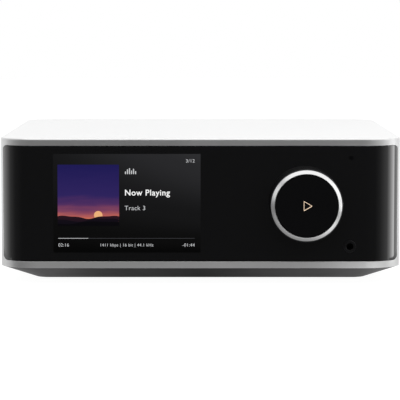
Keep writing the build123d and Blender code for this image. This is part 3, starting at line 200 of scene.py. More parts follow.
def blend(tree, share, low, high, **settings):
    """A mix of two colours by the share."""
    links = {MIX_SHARE: share, MIX_FIRST: low, MIX_SECOND: high}
    return add(tree, "ShaderNodeMix", links, data_type="RGBA", **settings).outputs[MIX_RESULT]


def tinted(tree, tone, shade):
    """A colour made lighter or darker by the tone."""
    level = add(tree, "ShaderNodeCombineColor", {0: tone, 1: tone, 2: tone}).outputs[0]
    return blend(tree, 1.0, shade, level, blend_type="MULTIPLY")


def object_point(tree):
    """The point on the piece, in metres in the frame."""
    return add(tree, "ShaderNodeTexCoord").outputs["Object"]


def coordinates(tree):
    """The point on the piece, split into its X, Y and Z."""
    return add(tree, "ShaderNodeSeparateXYZ", {"Vector": object_point(tree)}).outputs


def place_share(tree, axis, start, end):
    """How far the point lies between two places along one axis, from 0 to 1."""
    along = arithmetic(tree, "SUBTRACT", coordinates(tree)[axis], start)
    return arithmetic(tree, "DIVIDE", along, end - start, clamp=True)


def scaled(tree, point, scale):
    """The point times a scale of its own along each axis."""
    return add(tree, "ShaderNodeMapping", {"Vector": point, "Scale": scale}).outputs[0]


def noise(tree, point, scale, detail, **more):
    """One noise texture's value at the point."""
    links = {"Vector": point, "Scale": scale, "Detail": detail, **more}
    return add(tree, "ShaderNodeTexNoise", links).outputs[0]


def cells(tree, point, scale, randomness=1.0, **settings):
    """One cell texture's distance at the point."""
    links = {"Vector": point, "Scale": scale, "Randomness": randomness}
    return add(tree, "ShaderNodeTexVoronoi", links, **settings).outputs["Distance"]


# Effects that several finishes share, each a node group

def effect(name, inputs, outputs, build):
    """A shader node group with named number inputs and outputs."""
    made = bpy.data.node_groups.new(name, "ShaderNodeTree")
    for side, labels in (("INPUT", inputs), ("OUTPUT", outputs)):
        for label in labels:
            made.interface.new_socket(label, in_out=side, socket_type="NodeSocketFloat")
    start = made.nodes.new("NodeGroupInput")
    end = made.nodes.new("NodeGroupOutput")
    for label, socket in build(made, start.outputs).items():
        made.links.new(socket, end.inputs[label])
    return made


def blasted(tree, given):
    """Bead blasted grain: fine noise over a coarser one, as a height and as a slight tone round 1."""
    coarse_share, coarse_weight, middle = 0.11, 0.35, 0.67
    point = object_point(tree)
    fine = noise(tree, point, given["Fineness"], detail=3.0)
    coarse_scale = arithmetic(tree, "MULTIPLY", given["Fineness"], coarse_share)
    coarse = noise(tree, point, coarse_scale, detail=2.0)
    height = arithmetic(tree, "MULTIPLY_ADD", coarse, coarse_weight, fine)
    tone = arithmetic(tree, "MULTIPLY_ADD", height, given["Contrast"], 1.0)
    tone = arithmetic(tree, "MULTIPLY_ADD", given["Contrast"], -middle, tone)
    return {"Height": height, "Tone": tone}


def worn_edges(tree, given):
    """Where the surface turns sharply: 1 less the product of the true and the rounded normal,
    broken into patches by a noise."""
    patch_scale, patch_gain, least_patch = 260.0, 2.2, 0.1
    rounded = add(tree, "ShaderNodeBevel", {"Radius": given["Radius"]}, samples=4)
    true = add(tree, "ShaderNodeNewGeometry").outputs["True Normal"]
    agree = add(tree, "ShaderNodeVectorMath", {0: rounded.outputs[0], 1: true}, operation="DOT_PRODUCT")
    sharp = arithmetic(tree, "SUBTRACT", 1.0, agree.outputs["Value"])
    patch = noise(tree, object_point(tree), patch_scale, detail=4.0)
    broken = arithmetic(tree, "MULTIPLY_ADD", patch, patch_gain, least_patch)
    mask = arithmetic(tree, "MULTIPLY", sharp, given["Strength"])
    return {"Edge": arithmetic(tree, "MULTIPLY", mask, broken, clamp=True)}


def handled(tree, given):
    """Soft smears of handling: noise drawn out upwards, less its middle, times the amount."""
    drawn_out, middle = (1.0, 1.0, 0.35), 0.48
    stretched = scaled(tree, object_point(tree), drawn_out)
    smear = noise(tree, stretched, given["Scale"], detail=5.0, Roughness=0.6, Distortion=0.8)
    lifted = arithmetic(tree, "SUBTRACT", smear, middle)
    return {"Smear": arithmetic(tree, "MULTIPLY", lifted, given["Amount"])}


def turned(tree, given):
    """Fine lathe lines round an axis along Y through the given centre: noise on the radius plus y."""
    tone_swing, least_tone = 0.16, 0.92
    point = coordinates(tree)
    across = arithmetic(tree, "SUBTRACT", point["X"], given["Centre X"])
    up = arithmetic(tree, "SUBTRACT", point["Z"], given["Centre Z"])
    squares = arithmetic(tree, "MULTIPLY_ADD", across, across, arithmetic(tree, "MULTIPLY", up, up))
    outwards = arithmetic(tree, "MULTIPLY", arithmetic(tree, "SQRT", squares), given["Lines"])
    lengthways = arithmetic(tree, "MULTIPLY", point["Y"], given["Lines"])
    along = arithmetic(tree, "ADD", outwards, lengthways)
    line = add(tree, "ShaderNodeTexNoise", {"W": along, "Scale": 1.0, "Detail": 2.0}, noise_dimensions="1D")
    tone = arithmetic(tree, "MULTIPLY_ADD", line.outputs[0], tone_swing, least_tone)
    return {"Height": line.outputs[0], "Tone": tone}


def moulded(tree, given):
    """The fine pebbled skin of moulded plastic: rounded cells over a slow noise."""
    slow_scale, slow_weight, tone_swing, least_tone = 90.0, 0.4, 0.5, 0.75
    point = object_point(tree)
    pebbles = cells(tree, point, given["Scale"], feature="SMOOTH_F1")
    slow = noise(tree, point, slow_scale, detail=3.0)
    height = arithmetic(tree, "MULTIPLY_ADD", slow, slow_weight, pebbles)
    return {"Height": height, "Tone": arithmetic(tree, "MULTIPLY_ADD", slow, tone_swing, least_tone)}


def tracks(tree, given):
    """Circuit tracks: the walls of long cells, and round pads at the middles of finer ones."""
    drawn_out, pad_fineness, track_width, pad_radius = (1.0, 0.45, 1.0), 1.8, 0.05, 0.16
    point = object_point(tree)
    laid = scaled(tree, point, drawn_out)
    walls = cells(tree, laid, given["Scale"], feature="DISTANCE_TO_EDGE")
    pad_scale = arithmetic(tree, "MULTIPLY", given["Scale"], pad_fineness)
    pads = cells(tree, point, pad_scale, randomness=0.7)
    line = arithmetic(tree, "LESS_THAN", walls, track_width)
    pad = arithmetic(tree, "LESS_THAN", pads, pad_radius)
    return {"Track": arithmetic(tree, "MAXIMUM", line, pad), "Pad": pad}


def layers(tree, given):
    """Stacked sheets or wound wire: a sine of the height, once per pitch."""
    tone_swing, middle_tone = 0.12, 0.88
    turns = arithmetic(tree, "DIVIDE", coordinates(tree)["Z"], given["Pitch"])
    wave = arithmetic(tree, "SINE", arithmetic(tree, "MULTIPLY", turns, 2 * math.pi))
    return {"Height": wave, "Tone": arithmetic(tree, "MULTIPLY_ADD", wave, tone_swing, middle_tone)}


BLASTED = effect("bead blasted grain", ["Fineness", "Contrast"], ["Height", "Tone"], blasted)
WORN = effect("worn edges", ["Radius", "Strength"], ["Edge"], worn_edges)
HANDLED = effect("handled smears", ["Scale", "Amount"], ["Smear"], handled)
TURNED = effect("turned lines", ["Centre X", "Centre Z", "Lines"], ["Height", "Tone"], turned)
MOULDED = effect("moulded skin", ["Scale"], ["Height", "Tone"], moulded)
TRACKS = effect("circuit tracks", ["Scale"], ["Track", "Pad"], tracks)
LAYERS = effect("stacked layers", ["Pitch"], ["Height", "Tone"], layers)


def use(tree, group, **values):
    """Places an effect in a material with its own values."""
    made = tree.nodes.new("ShaderNodeGroup")
    made.node_tree = group
    for name, value in values.items():
        made.inputs[name.replace("_", " ")].default_value = value
    return made.outputs


# Finishes

def surface(name, **values):
    """A new material with one Principled shader whose plain values are set on its sockets."""
    made = bpy.data.materials.new(name)
    made.use_nodes = True
    shader = made.node_tree.nodes["Principled BSDF"]
    for label, value in values.items():
        shader.inputs[label.replace("_", " ")].default_value = value
    return made, made.node_tree, shader


def set_colour(tree, shader, value):
    """Feeds a colour to the shader."""
    tree.links.new(value, shader.inputs["Base Color"])


def set_roughness(tree, shader, rough, scale, amount, edge=None, polish=0.0):
    """Feeds the roughness: the plain value and smears of handling, less the polish on rubbed edges."""
    smear = use(tree, HANDLED, Scale=scale, Amount=amount)["Smear"]
    if edge is not None:
        rough = arithmetic(tree, "MULTIPLY_ADD", edge, -polish, rough)
    tree.links.new(arithmetic(tree, "ADD", smear, rough, clamp=True), shader.inputs["Roughness"])


def set_glow(tree, shader, value):
    """Feeds the colour of the light that the surface gives."""
    tree.links.new(value, shader.inputs["Emission Color"])


def raise_surface(tree, shader, height, depth, strength, edge_radius=None):
    """Feeds a bump, over rounded edges where a radius is given, to the shader's normal."""
    bump = add(tree, "ShaderNodeBump", {"Height": height, "Distance": depth, "Strength": strength})
    if edge_radius:
        rounded = add(tree, "ShaderNodeBevel", {"Radius": edge_radius}, samples=4)
        tree.links.new(rounded.outputs[0], bump.inputs["Normal"])
    tree.links.new(bump.outputs[0], shader.inputs["Normal"])


EDGE_REACH = 1.5        # how far an edge is rubbed, over the radius that it is rounded by


def blasted_metal(name, shade, bright, rough):
    """Bead blasted, anodised metal: fine grain, smears of handling, and brighter rubbed edges."""
    made, tree, shader = surface(name, Metallic=1.0)
    grain = use(tree, BLASTED, Fineness=5200.0, Contrast=0.07)
    edge = use(tree, WORN, Radius=0.35 * MM, Strength=1.6)["Edge"]
    set_colour(tree, shader, blend(tree, edge, tinted(tree, grain["Tone"], shade), bright))
    set_roughness(tree, shader, rough, scale=18.0, amount=0.12, edge=edge, polish=0.12)
    raise_surface(tree, shader, grain["Height"], depth=0.004 * MM, strength=0.6, edge_radius=0.25 * MM)
    return made


def turned_metal(name, shade, rough, lines, depth=0.002 * MM):
    """Metal cut on a lathe: fine lines round the knob's axis, with a few worn spots."""
    made, tree, shader = surface(name, Metallic=1.0)
    line = use(tree, TURNED, Centre_X=KNOB_X, Centre_Z=KNOB_Z, Lines=lines)
    set_colour(tree, shader, tinted(tree, line["Tone"], shade))
    set_roughness(tree, shader, rough, scale=60.0, amount=0.08)
    raise_surface(tree, shader, line["Height"], depth, strength=0.5)
    return made


def rolled_metal(name, shade, rough, edge_radius=0.12 * MM):
    """Rolled or stamped sheet: drawn grain, smears, and bright cut edges."""
    made, tree, shader = surface(name, Metallic=1.0)
    grain = use(tree, BLASTED, Fineness=2400.0, Contrast=0.10)
    edge = use(tree, WORN, Radius=edge_radius * EDGE_REACH, Strength=1.2)["Edge"]
    set_colour(tree, shader, blend(tree, edge, tinted(tree, grain["Tone"], shade), paler(shade, gain=1.25)))
    set_roughness(tree, shader, rough, scale=45.0, amount=0.16)
    raise_surface(tree, shader, grain["Height"], depth=0.003 * MM, strength=0.5, edge_radius=edge_radius)
    return made


def moulded_plastic(name, shade, rough, scale=2600.0, depth=0.012 * MM, edge_radius=0.2 * MM, gloss=0.5):
    """Moulded plastic: pebbled skin, a little sheen where it is rubbed, and soft edges."""
    made, tree, shader = surface(name, Specular_IOR_Level=gloss)
    skin = use(tree, MOULDED, Scale=scale)
    edge = use(tree, WORN, Radius=edge_radius * EDGE_REACH, Strength=0.8)["Edge"]
    rubbed = paler(shade, gain=1.8, lift=0.004)
    set_colour(tree, shader, blend(tree, edge, tinted(tree, skin["Tone"], shade), rubbed))
    set_roughness(tree, shader, rough, scale=30.0, amount=0.18, edge=edge, polish=0.1)
    raise_surface(tree, shader, skin["Height"], depth, strength=0.5, edge_radius=edge_radius)
    return made


def gloss_black(name, shade, rough, smears, coat=0.0):
    """Polished black glass or acrylic: a deep colour, a few specks of dust, faint smears in its polish."""
    dust_scale, dust_least, dust_lift = 1400.0, 0.86, 0.006
    made, tree, shader = surface(name, IOR=1.5, Coat_Weight=coat, Coat_Roughness=0.02)
    dust = noise(tree, object_point(tree), dust_scale, detail=1.0)
    speck = arithmetic(tree, "GREATER_THAN", dust, dust_least)
    set_colour(tree, shader, blend(tree, speck, shade, paler(shade, gain=1.0, lift=dust_lift)))
    set_roughness(tree, shader, rough, scale=22.0, amount=smears)
    return made


def circuit_board(name):
    """A printed board: green solder mask over raised tracks, and bare gilt pads."""
    mask, track, pad = rgb(0.008, 0.055, 0.022), rgb(0.018, 0.095, 0.04), rgb(0.75, 0.62, 0.32)
    made, tree, shader = surface(name, Roughness=0.35)
    laid = use(tree, TRACKS, Scale=420.0)
    skin = use(tree, MOULDED, Scale=5200.0)
    base = blend(tree, laid["Track"], tinted(tree, skin["Tone"], mask), track)
    set_colour(tree, shader, blend(tree, laid["Pad"], base, pad))
    tree.links.new(laid["Pad"], shader.inputs["Metallic"])
    raise_surface(tree, shader, laid["Track"], depth=0.03 * MM, strength=0.6)
    return made


def layered(name, shade, rough, pitch, metallic=0.0):
    """Stacked sheets, wound wire or fine ribs, one above the other."""
    depth_share = 0.2
    made, tree, shader = surface(name, Metallic=metallic)
    stack = use(tree, LAYERS, Pitch=pitch)
    set_colour(tree, shader, tinted(tree, stack["Tone"], shade))
    set_roughness(tree, shader, rough, scale=50.0, amount=0.15)
    raise_surface(tree, shader, stack["Height"], pitch * depth_share, strength=0.6)
    return made


def rubber(name, shade, rough):
    """Matt rubber: coarse pebbled skin with a dusty bloom."""
    made, tree, shader = surface(name, Specular_IOR_Level=0.3, Sheen_Weight=0.15, Sheen_Roughness=0.5)
    skin = use(tree, MOULDED, Scale=1500.0)
    bloom = use(tree, HANDLED, Scale=35.0, Amount=0.6)["Smear"]
    dusty = paler(shade, gain=2.2, lift=0.01)
    set_colour(tree, shader, blend(tree, bloom, tinted(tree, skin["Tone"], shade), dusty))
    set_roughness(tree, shader, rough, scale=35.0, amount=0.3)
    raise_surface(tree, shader, skin["Height"], depth=0.03 * MM, strength=0.6)
    return made


def socket_insulator(name, upper, lower, divide, rough):
    """The moulded cores of the round sockets: one colour above the dividing height and one below,
    as the two channels of a pair are marked."""
    made, tree, shader = surface(name, Specular_IOR_Level=0.45)
    skin = use(tree, MOULDED, Scale=3000.0)
    above = arithmetic(tree, "GREATER_THAN", coordinates(tree)["Z"], divide)
    set_colour(tree, shader, tinted(tree, skin["Tone"], blend(tree, above, lower, upper)))
    set_roughness(tree, shader, rough, scale=60.0, amount=0.15)
    raise_surface(tree, shader, skin["Height"], depth=0.006 * MM, strength=0.5)
    return made


def lit(name, shade, strength=1.0):
    """A part that gives its own light behind a polished face, a little uneven as a real diffuser is."""
    cloud_scale, tone_swing, least_tone = 700.0, 0.14, 0.93
    made, tree, shader = surface(name, Base_Color=BLACK, Roughness=0.15, Emission_Strength=strength)
    cloud = noise(tree, object_point(tree), cloud_scale, detail=1.0)
    tone = arithmetic(tree, "MULTIPLY_ADD", cloud, tone_swing, least_tone)
    set_glow(tree, shader, tinted(tree, tone, shade))
    return made


def page_ground():
    """The lit ground of the screen: near black at the lower left, a soft grey at the upper right.
    The share is the height times a mix of 1 and the way across."""
    across_weight = 0.55
    stops = [
        (0.0, BLACK), (0.1, shown(6, 6, 6)), (0.36, shown(18, 18, 19)),
        (0.85, shown(39, 39, 41)), (1.0, shown(45, 45, 47)),
    ]
    made, tree, shader = surface("screen ground", Base_Color=grey(0.001), IOR=1.45, Emission_Strength=1.0)
    across = place_share(tree, "X", PAGE_LEFT, PAGE_RIGHT)
    up = place_share(tree, "Z", PAGE_BOTTOM, PAGE_TOP)
    weight = arithmetic(tree, "MULTIPLY_ADD", across, across_weight, 1 - across_weight)
    set_glow(tree, shader, ramp(tree, arithmetic(tree, "MULTIPLY", up, weight), stops, smooth=True))
    set_roughness(tree, shader, rough=0.06, scale=22.0, amount=0.03)
    return made


def evening_sky():
    """The cover's sky: indigo above, through mauve, to a warm orange at the horizon, with faint bands
    of cloud that move the height up and down by half their swing."""
    drawn_out, swing = (60.0, 1.0, 420.0), 0.16
    stops = [
        (0.09, shown(216, 128, 88)), (0.15, shown(192, 100, 86)), (0.24, shown(128, 66, 92)),
        (0.35, shown(80, 46, 94)), (0.5, shown(45, 34, 92)), (1.0, shown(28, 24, 82)),
    ]
    made, tree, shader = surface("evening sky", Base_Color=BLACK, Roughness=0.08, Emission_Strength=1.0)
    up = place_share(tree, "Z", COVER_BOTTOM, COVER_TOP)
    cloud = noise(tree, scaled(tree, object_point(tree), drawn_out), scale=1.0, detail=3.0)
    lower = arithmetic(tree, "SUBTRACT", up, swing / 2)
    moved = arithmetic(tree, "MULTIPLY_ADD", cloud, swing, lower)
    set_glow(tree, shader, ramp(tree, moved, stops))
    return made


def dune(name, top, low):
    """One range of dunes: a darker foot under a faintly lit crest."""
    made, tree, shader = surface(name, Base_Color=BLACK, Roughness=0.08, Emission_Strength=1.0)
    up = place_share(tree, "Z", COVER_BOTTOM, COVER_BOTTOM + COVER_SIDE * DUNE_SHADE_HEIGHT)
    set_glow(tree, shader, ramp(tree, up, [(0.0, low), (1.0, top)], smooth=True))
    return made


NEAR_BLACK = rgb(0.016, 0.016, 0.017)

finishes = {
    "case_aluminium": blasted_metal("blasted silver case", rgb(0.82, 0.822, 0.822), grey(0.95), rough=0.40),
    "black_glass": gloss_black(
        "black front glass", rgb(0.0030, 0.0030, 0.0034), rough=0.035, smears=0.05, coat=1.0),
    "black_plastic": moulded_plastic("black moulded plastic", rgb(0.007, 0.007, 0.0075), rough=0.42),
    "screen_glass": gloss_black("screen panel glass", rgb(0.006, 0.006, 0.008), rough=0.08, smears=0.04),
    "sheet_steel": rolled_metal("plated sheet steel", rgb(0.60, 0.60, 0.59), rough=0.34),
    "ribbon_film": moulded_plastic(
        "ribbon film", rgb(0.42, 0.20, 0.05), rough=0.3, scale=900.0, depth=0.004 * MM),
    "knob_aluminium": turned_metal(
        "turned knob aluminium", rgb(0.86, 0.86, 0.862), rough=0.33, lines=9000.0, depth=0.0008 * MM),
    "turned_steel": turned_metal("turned steel hub", rgb(0.55, 0.55, 0.56), rough=0.3, lines=5200.0),
    "icon_amber": lit("lit play mark", shown(250, 222, 192), strength=1.3),
    "black_gloss": gloss_black("polished button lens", rgb(0.0028, 0.0028, 0.0032), rough=0.05, smears=0.05),
    "white_plastic": moulded_plastic("white moulded plastic", rgb(0.62, 0.62, 0.60), rough=0.4),
    "circuit_board": circuit_board("green circuit board"),
    "black_metal": blasted_metal("black plated metal", rgb(0.015, 0.015, 0.016), grey(0.08), rough=0.46),
    "smoked_plastic": moulded_plastic(
        "smoked plastic", rgb(0.03, 0.028, 0.026), rough=0.22, scale=1800.0, depth=0.004 * MM),
    # The base tray's dark grey is painted shade: the downward-facing chamfer of the base lies in shadow, and
    # this colour stands for that shadow.
    "graphite_tray": moulded_plastic(
        "dark base tray with painted shade", rgb(0.046, 0.046, 0.047),
        rough=0.40, scale=3200.0, depth=0.008 * MM, edge_radius=0.3 * MM),
    "foot_rubber": rubber("foot rubber", NEAR_BLACK, rough=0.78),
    "screw_steel": rolled_metal(
        "plated screw steel", rgb(0.58, 0.58, 0.57), rough=0.28, edge_radius=0.08 * MM),
    "screw_black": rolled_metal(
        "blacked screw steel", rgb(0.035, 0.035, 0.037), rough=0.32, edge_radius=0.08 * MM),
    "sink_aluminium": layered(
        "drawn heat sink aluminium", rgb(0.32, 0.33, 0.35), rough=0.38, pitch=0.9 * MM, metallic=1.0),
    "chip_black": moulded_plastic(
        "chip resin", rgb(0.014, 0.014, 0.015),
        rough=0.5, scale=5200.0, depth=0.006 * MM, edge_radius=0.1 * MM),
    "can_aluminium": layered("capacitor sleeve", rgb(0.05, 0.06, 0.12), rough=0.3, pitch=0.6 * MM),
    "wire_red": moulded_plastic(
        "red wire insulation", rgb(0.42, 0.02, 0.015), rough=0.35, depth=0.003 * MM),
    "coax_black": moulded_plastic(
        "antenna lead jacket", NEAR_BLACK, rough=0.38, scale=3600.0, depth=0.003 * MM),
    "ferrite": layered("wound ferrite core", rgb(0.28, 0.13, 0.05), rough=0.42, pitch=0.7 * MM),
    "rear_plastic": moulded_plastic(
        "rear panel plastic", NEAR_BLACK, rough=0.58, scale=2200.0, depth=0.02 * MM, gloss=0.35),
    "brass_contact": rolled_metal(
        "gold plated contact", rgb(0.92, 0.70, 0.34), rough=0.22, edge_radius=0.08 * MM),
    "flap_plastic": moulded_plastic(
        "shutter flap plastic", rgb(0.03, 0.03, 0.031), rough=0.3, scale=3000.0, depth=0.004 * MM),
    "plated_contact": rolled_metal(
        "nickel plated fitting", rgb(0.70, 0.68, 0.64), rough=0.2, edge_radius=0.1 * MM),
}


def dress(node, finish):
    """Puts the finish in every slot of a node's mesh."""
    mesh = frame["nodes"][node].data
    for index in range(len(mesh.materials)):
        mesh.materials[index] = finish


for part in frame["record"]["subparts"]:
    dress(part["node"], finishes[part["material_slot"]])

core_low, core_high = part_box("audio_cores")
core_divide = (core_low.z + core_high.z) / 2
core_white, core_red = rgb(0.7, 0.7, 0.68), rgb(0.42, 0.012, 0.012)
core_finish = socket_insulator("marked socket cores", core_white, core_red, core_divide, rough=0.36)
dress("audio_cores", core_finish)


# Shapes

def put(name, data):
    """A new object in the scene, holding a mesh, lettering, a lamp or the camera."""
    made = bpy.data.objects.new(name, data)
    bpy.context.scene.collection.objects.link(made)
    return made


def piece(name, points, faces, finish, body, sharp=None):
    """A closed mesh whose place is in its points, with its faces turned outwards. Where a sharp angle
    is given, the faces that meet at less are smooth across."""
    mesh = bpy.data.meshes.new(name)
    mesh.from_pydata(points.tolist(), [], faces)
    work = bmesh.new()
    work.from_mesh(mesh)
    bmesh.ops.remove_doubles(work, verts=work.verts, dist=1e-7)
    bmesh.ops.recalc_face_normals(work, faces=work.faces)
    work.to_mesh(mesh)
    work.free()
    mesh.polygons.foreach_set("use_smooth", np.full(len(mesh.polygons), sharp is not None))
    if sharp is not None:
        mesh.set_sharp_from_angle(angle=math.radians(sharp))
    mesh.materials.append(finish)
    made = put(name, mesh)
    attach(made, body)
    return made


def ring_faces(rows, columns):
    """The quads of a grid that closes on itself both ways, as rows of four indices."""
    index = np.arange(rows * columns).reshape(rows, columns)
    along = np.roll(index, -1, axis=0)
    across = np.roll(index, -1, axis=1)
    corner = np.roll(along, -1, axis=1)
    return np.stack([index, across, corner, along], axis=-1).reshape(-1, 4).tolist()


def circle(steps):
    """Unit points round a circle: the cosine and the sine of equal angles."""
    angle = np.linspace(0, 2 * math.pi, steps, endpoint=False)
    return np.stack([np.cos(angle), np.sin(angle)], axis=-1)


def quarter_turn(steps):
    """Angles from 0 to a right angle."""
    return np.linspace(0, math.pi / 2, steps)


def stood_up(outline, y):
    """Outline points of (x, z) put at the depth y."""
    return np.insert(outline, 1, y, axis=1)


def lathe(name, profile, finish, body, sharp):
    """A closed profile of (radius, y) carried round the knob's axis, along Y:
    x = centre + radius times the cosine of the angle, z = centre + radius times its sine."""
    turns = 192
    profile = np.asarray(profile)
    radius, y = profile[:, :1], profile[:, 1:]
    unit = circle(turns)
    points = np.stack([
        KNOB_X + radius * unit[:, 0],
        np.broadcast_to(y, (len(profile), turns)),
        KNOB_Z + radius * unit[:, 1],
    ], axis=-1).reshape(-1, 3)
    return piece(name, points, ring_faces(len(profile), turns), finish, body, sharp)


def rounded_outline(x, z, width, height, corner, steps=10):
    """Four quarter circles, each about the centre of its corner, joined by straight runs."""
    turn = quarter_turn(steps)
    outline = []
    for quarter, (side, end) in enumerate(((1, 1), (-1, 1), (-1, -1), (1, -1))):
        angle = turn + quarter * math.pi / 2
        middle = np.array([x + side * (width / 2 - corner), z + end * (height / 2 - corner)])
        outline.append(middle + corner * np.stack([np.cos(angle), np.sin(angle)], axis=-1))
    return np.concatenate(outline)


def layer_front(layer):
    """The depth of a layer's front: each layer is one pitch before the one under it."""
    return GLASS_FACE - PAGE_LIFT - layer * LAYER_PITCH


def inlay(name, outline, layer, finish):
    """A thin plate before the glass: the outline at its layer's front, and again one thickness behind."""
    outline = np.asarray(outline)
    count = len(outline)
    front = layer_front(layer)
    ends = [stood_up(outline, y) for y in (front, front + PLATE_THICKNESS)]
    index = np.arange(count)
    following = np.roll(index, -1)
    walls = np.stack([index, following, following + count, index + count], axis=-1).tolist()
    faces = [index.tolist(), (index + count)[::-1].tolist(), *walls]
    return piece(name, np.concatenate(ends), faces, finish, "root")


def words(name, text, size, x, z, finish, align="LEFT", weight=0.0):
    """Small lettering on the page, made a mesh before it is stood up and put in its place."""
    curve = bpy.data.curves.new(name, "FONT")
    curve.body = text
    curve.size = size
    curve.space_character = LETTER_SPACING
    curve.align_x = align
    curve.align_y = "CENTER"
    curve.offset = weight
    curve.extrude = PLATE_THICKNESS / 2
    loose = put(name, curve)
    bpy.context.view_layer.update()
    mesh = bpy.data.meshes.new_from_object(loose.evaluated_get(bpy.context.evaluated_depsgraph_get()))
    bpy.data.objects.remove(loose)
    mesh.transform(Matrix.Translation((x, layer_front(1), z)) @ Matrix.Rotation(math.pi / 2, 4, "X"))
    mesh.materials.clear()
    mesh.materials.append(finish)
    made = put(name, mesh)
    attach(made, "root")
    return made


# The screen's picture: a generic playing page with a cover of dunes at dusk

def cover_picture():
    """The cover's sky, its low sun, and three ranges of dunes. A range's crest is its rise plus its swell
    times a sine along the cover and a weaker, faster sine; its foot is the cover's lower edge."""
    cover_x, cover_z = COVER_LEFT + COVER_SIDE / 2, COVER_BOTTOM + COVER_SIDE / 2
    cover = rounded_outline(cover_x, cover_z, COVER_SIDE, COVER_SIDE, COVER_CORNER)
    inlay("cover_sky", cover, 1, evening_sky())
    sun_x, sun_z = COVER_LEFT + SUN_ACROSS * COVER_SIDE, COVER_BOTTOM + SUN_UP * COVER_SIDE
    sun = rounded_outline(sun_x, sun_z, SUN_WIDTH, SUN_WIDTH, SUN_CORNER, steps=14)
    inlay("cover_sun", sun, 2, lit("low sun", shown(236, 176, 122)))
    # name, rise, swell, waves across the cover, phase, colour of the crest, colour of the foot
    ranges = [
        ("far_dunes", 0.145, 0.022, 1.4, 0.4, shown(50, 24, 32), shown(22, 12, 24)),
        ("middle_dunes", 0.1, 0.026, 1.1, 2.6, shown(24, 14, 24), shown(12, 8, 18)),
        ("near_dunes", 0.055, 0.022, 0.8, 4.4, shown(12, 9, 15), shown(5, 4, 8)),
    ]
    across = np.linspace(0, 1, num=48)
    foot = np.array([[COVER_LEFT + COVER_SIDE, COVER_BOTTOM], [COVER_LEFT, COVER_BOTTOM]])
    for layer, (name, rise, swell, waves, phase, top, low) in enumerate(ranges, start=3):
        angle = 2 * math.pi * waves * across
        wave = np.sin(angle + phase) + DUNE_RIPPLE * np.sin(DUNE_RIPPLE_RATE * angle + 2 * phase)
        crest_x = COVER_LEFT + COVER_SIDE * across
        crest_z = COVER_BOTTOM + COVER_SIDE * (rise + swell * wave)
        outline = np.concatenate([np.stack([crest_x, crest_z], axis=-1), foot])
        inlay(name, outline, layer, dune(name.replace("_", " "), top, low))


def progress_bar(played_finish, track_finish):
    """The thin track across the page, and the part of it that has been played."""
    bar_z = PAGE_BOTTOM + BAR_FROM_BOTTOM
    length = ROW_RIGHT - ROW_LEFT
    played = length * BAR_PLAYED_SHARE
    track_corner, bar_corner = BAR_THICKNESS * 0.325, BAR_THICKNESS * 0.475
    track = rounded_outline((ROW_LEFT + ROW_RIGHT) / 2, bar_z, length, TRACK_THICKNESS, track_corner)
    inlay("progress_track", track, 1, track_finish)
    done = rounded_outline(ROW_LEFT + played / 2, bar_z, played, BAR_THICKNESS, bar_corner)
    inlay("progress_played", done, 2, played_finish)


def level_bars(finish):
    """A small row of upright bars, like a sound level, where a page has its source's sign."""
    for number, share in enumerate(LEVEL_SHARES):
        height = LEVEL_HEIGHT * share
        x = COLUMN_X + LEVELS_FROM_COLUMN + number * LEVEL_PITCH
        z = PAGE_TOP - LEVELS_FROM_TOP + height / 2
        bar = rounded_outline(x, z, LEVEL_WIDTH, height, LEVEL_CORNER, steps=5)
        inlay(f"level_bar_{number + 1}", bar, 1, finish)


def screen_page():
    """The lit ground, the cover, the progress bar, the plain lettering and the level bars."""
    ground = rounded_outline(PAGE_X, PAGE_Z, PAGE_WIDTH, PAGE_HEIGHT, PAGE_CORNER)
    inlay("screen_page", ground, 0, page_ground())
    cover_picture()
    bright = lit("bright lettering", shown(250, 250, 250))
    soft = lit("soft lettering", shown(196, 197, 199))
    faint = lit("faint bar", shown(70, 71, 74))
    progress_bar(soft, faint)
    text_z = PAGE_BOTTOM + TEXT_FROM_BOTTOM
    middle = (ROW_LEFT + ROW_RIGHT) / 2
    words("time_played", "02:16", SMALL_TEXT, ROW_LEFT, text_z, soft)
    words("time_left", "-01:44", SMALL_TEXT, ROW_RIGHT, text_z, soft, "RIGHT")
    words("sound_rate", "1411 kbps | 16 bit | 44.1 kHz", RATE_TEXT, middle, text_z, soft, "CENTER")
    words("track_count", "3/12", COUNT_TEXT, ROW_RIGHT, PAGE_TOP - COUNT_FROM_TOP, soft, "RIGHT")
    title_z = PAGE_TOP - TITLE_FROM_TOP
    words("title_line", "Now Playing", TITLE_TEXT, COLUMN_X, title_z, bright, weight=TITLE_WEIGHT)
    words("track_line", "Track 3", TRACK_TEXT, COLUMN_X, PAGE_TOP - TRACK_FROM_TOP, soft)
    level_bars(soft)


screen_page()


# The knob: a turned ring with rolled edges round a polished lens

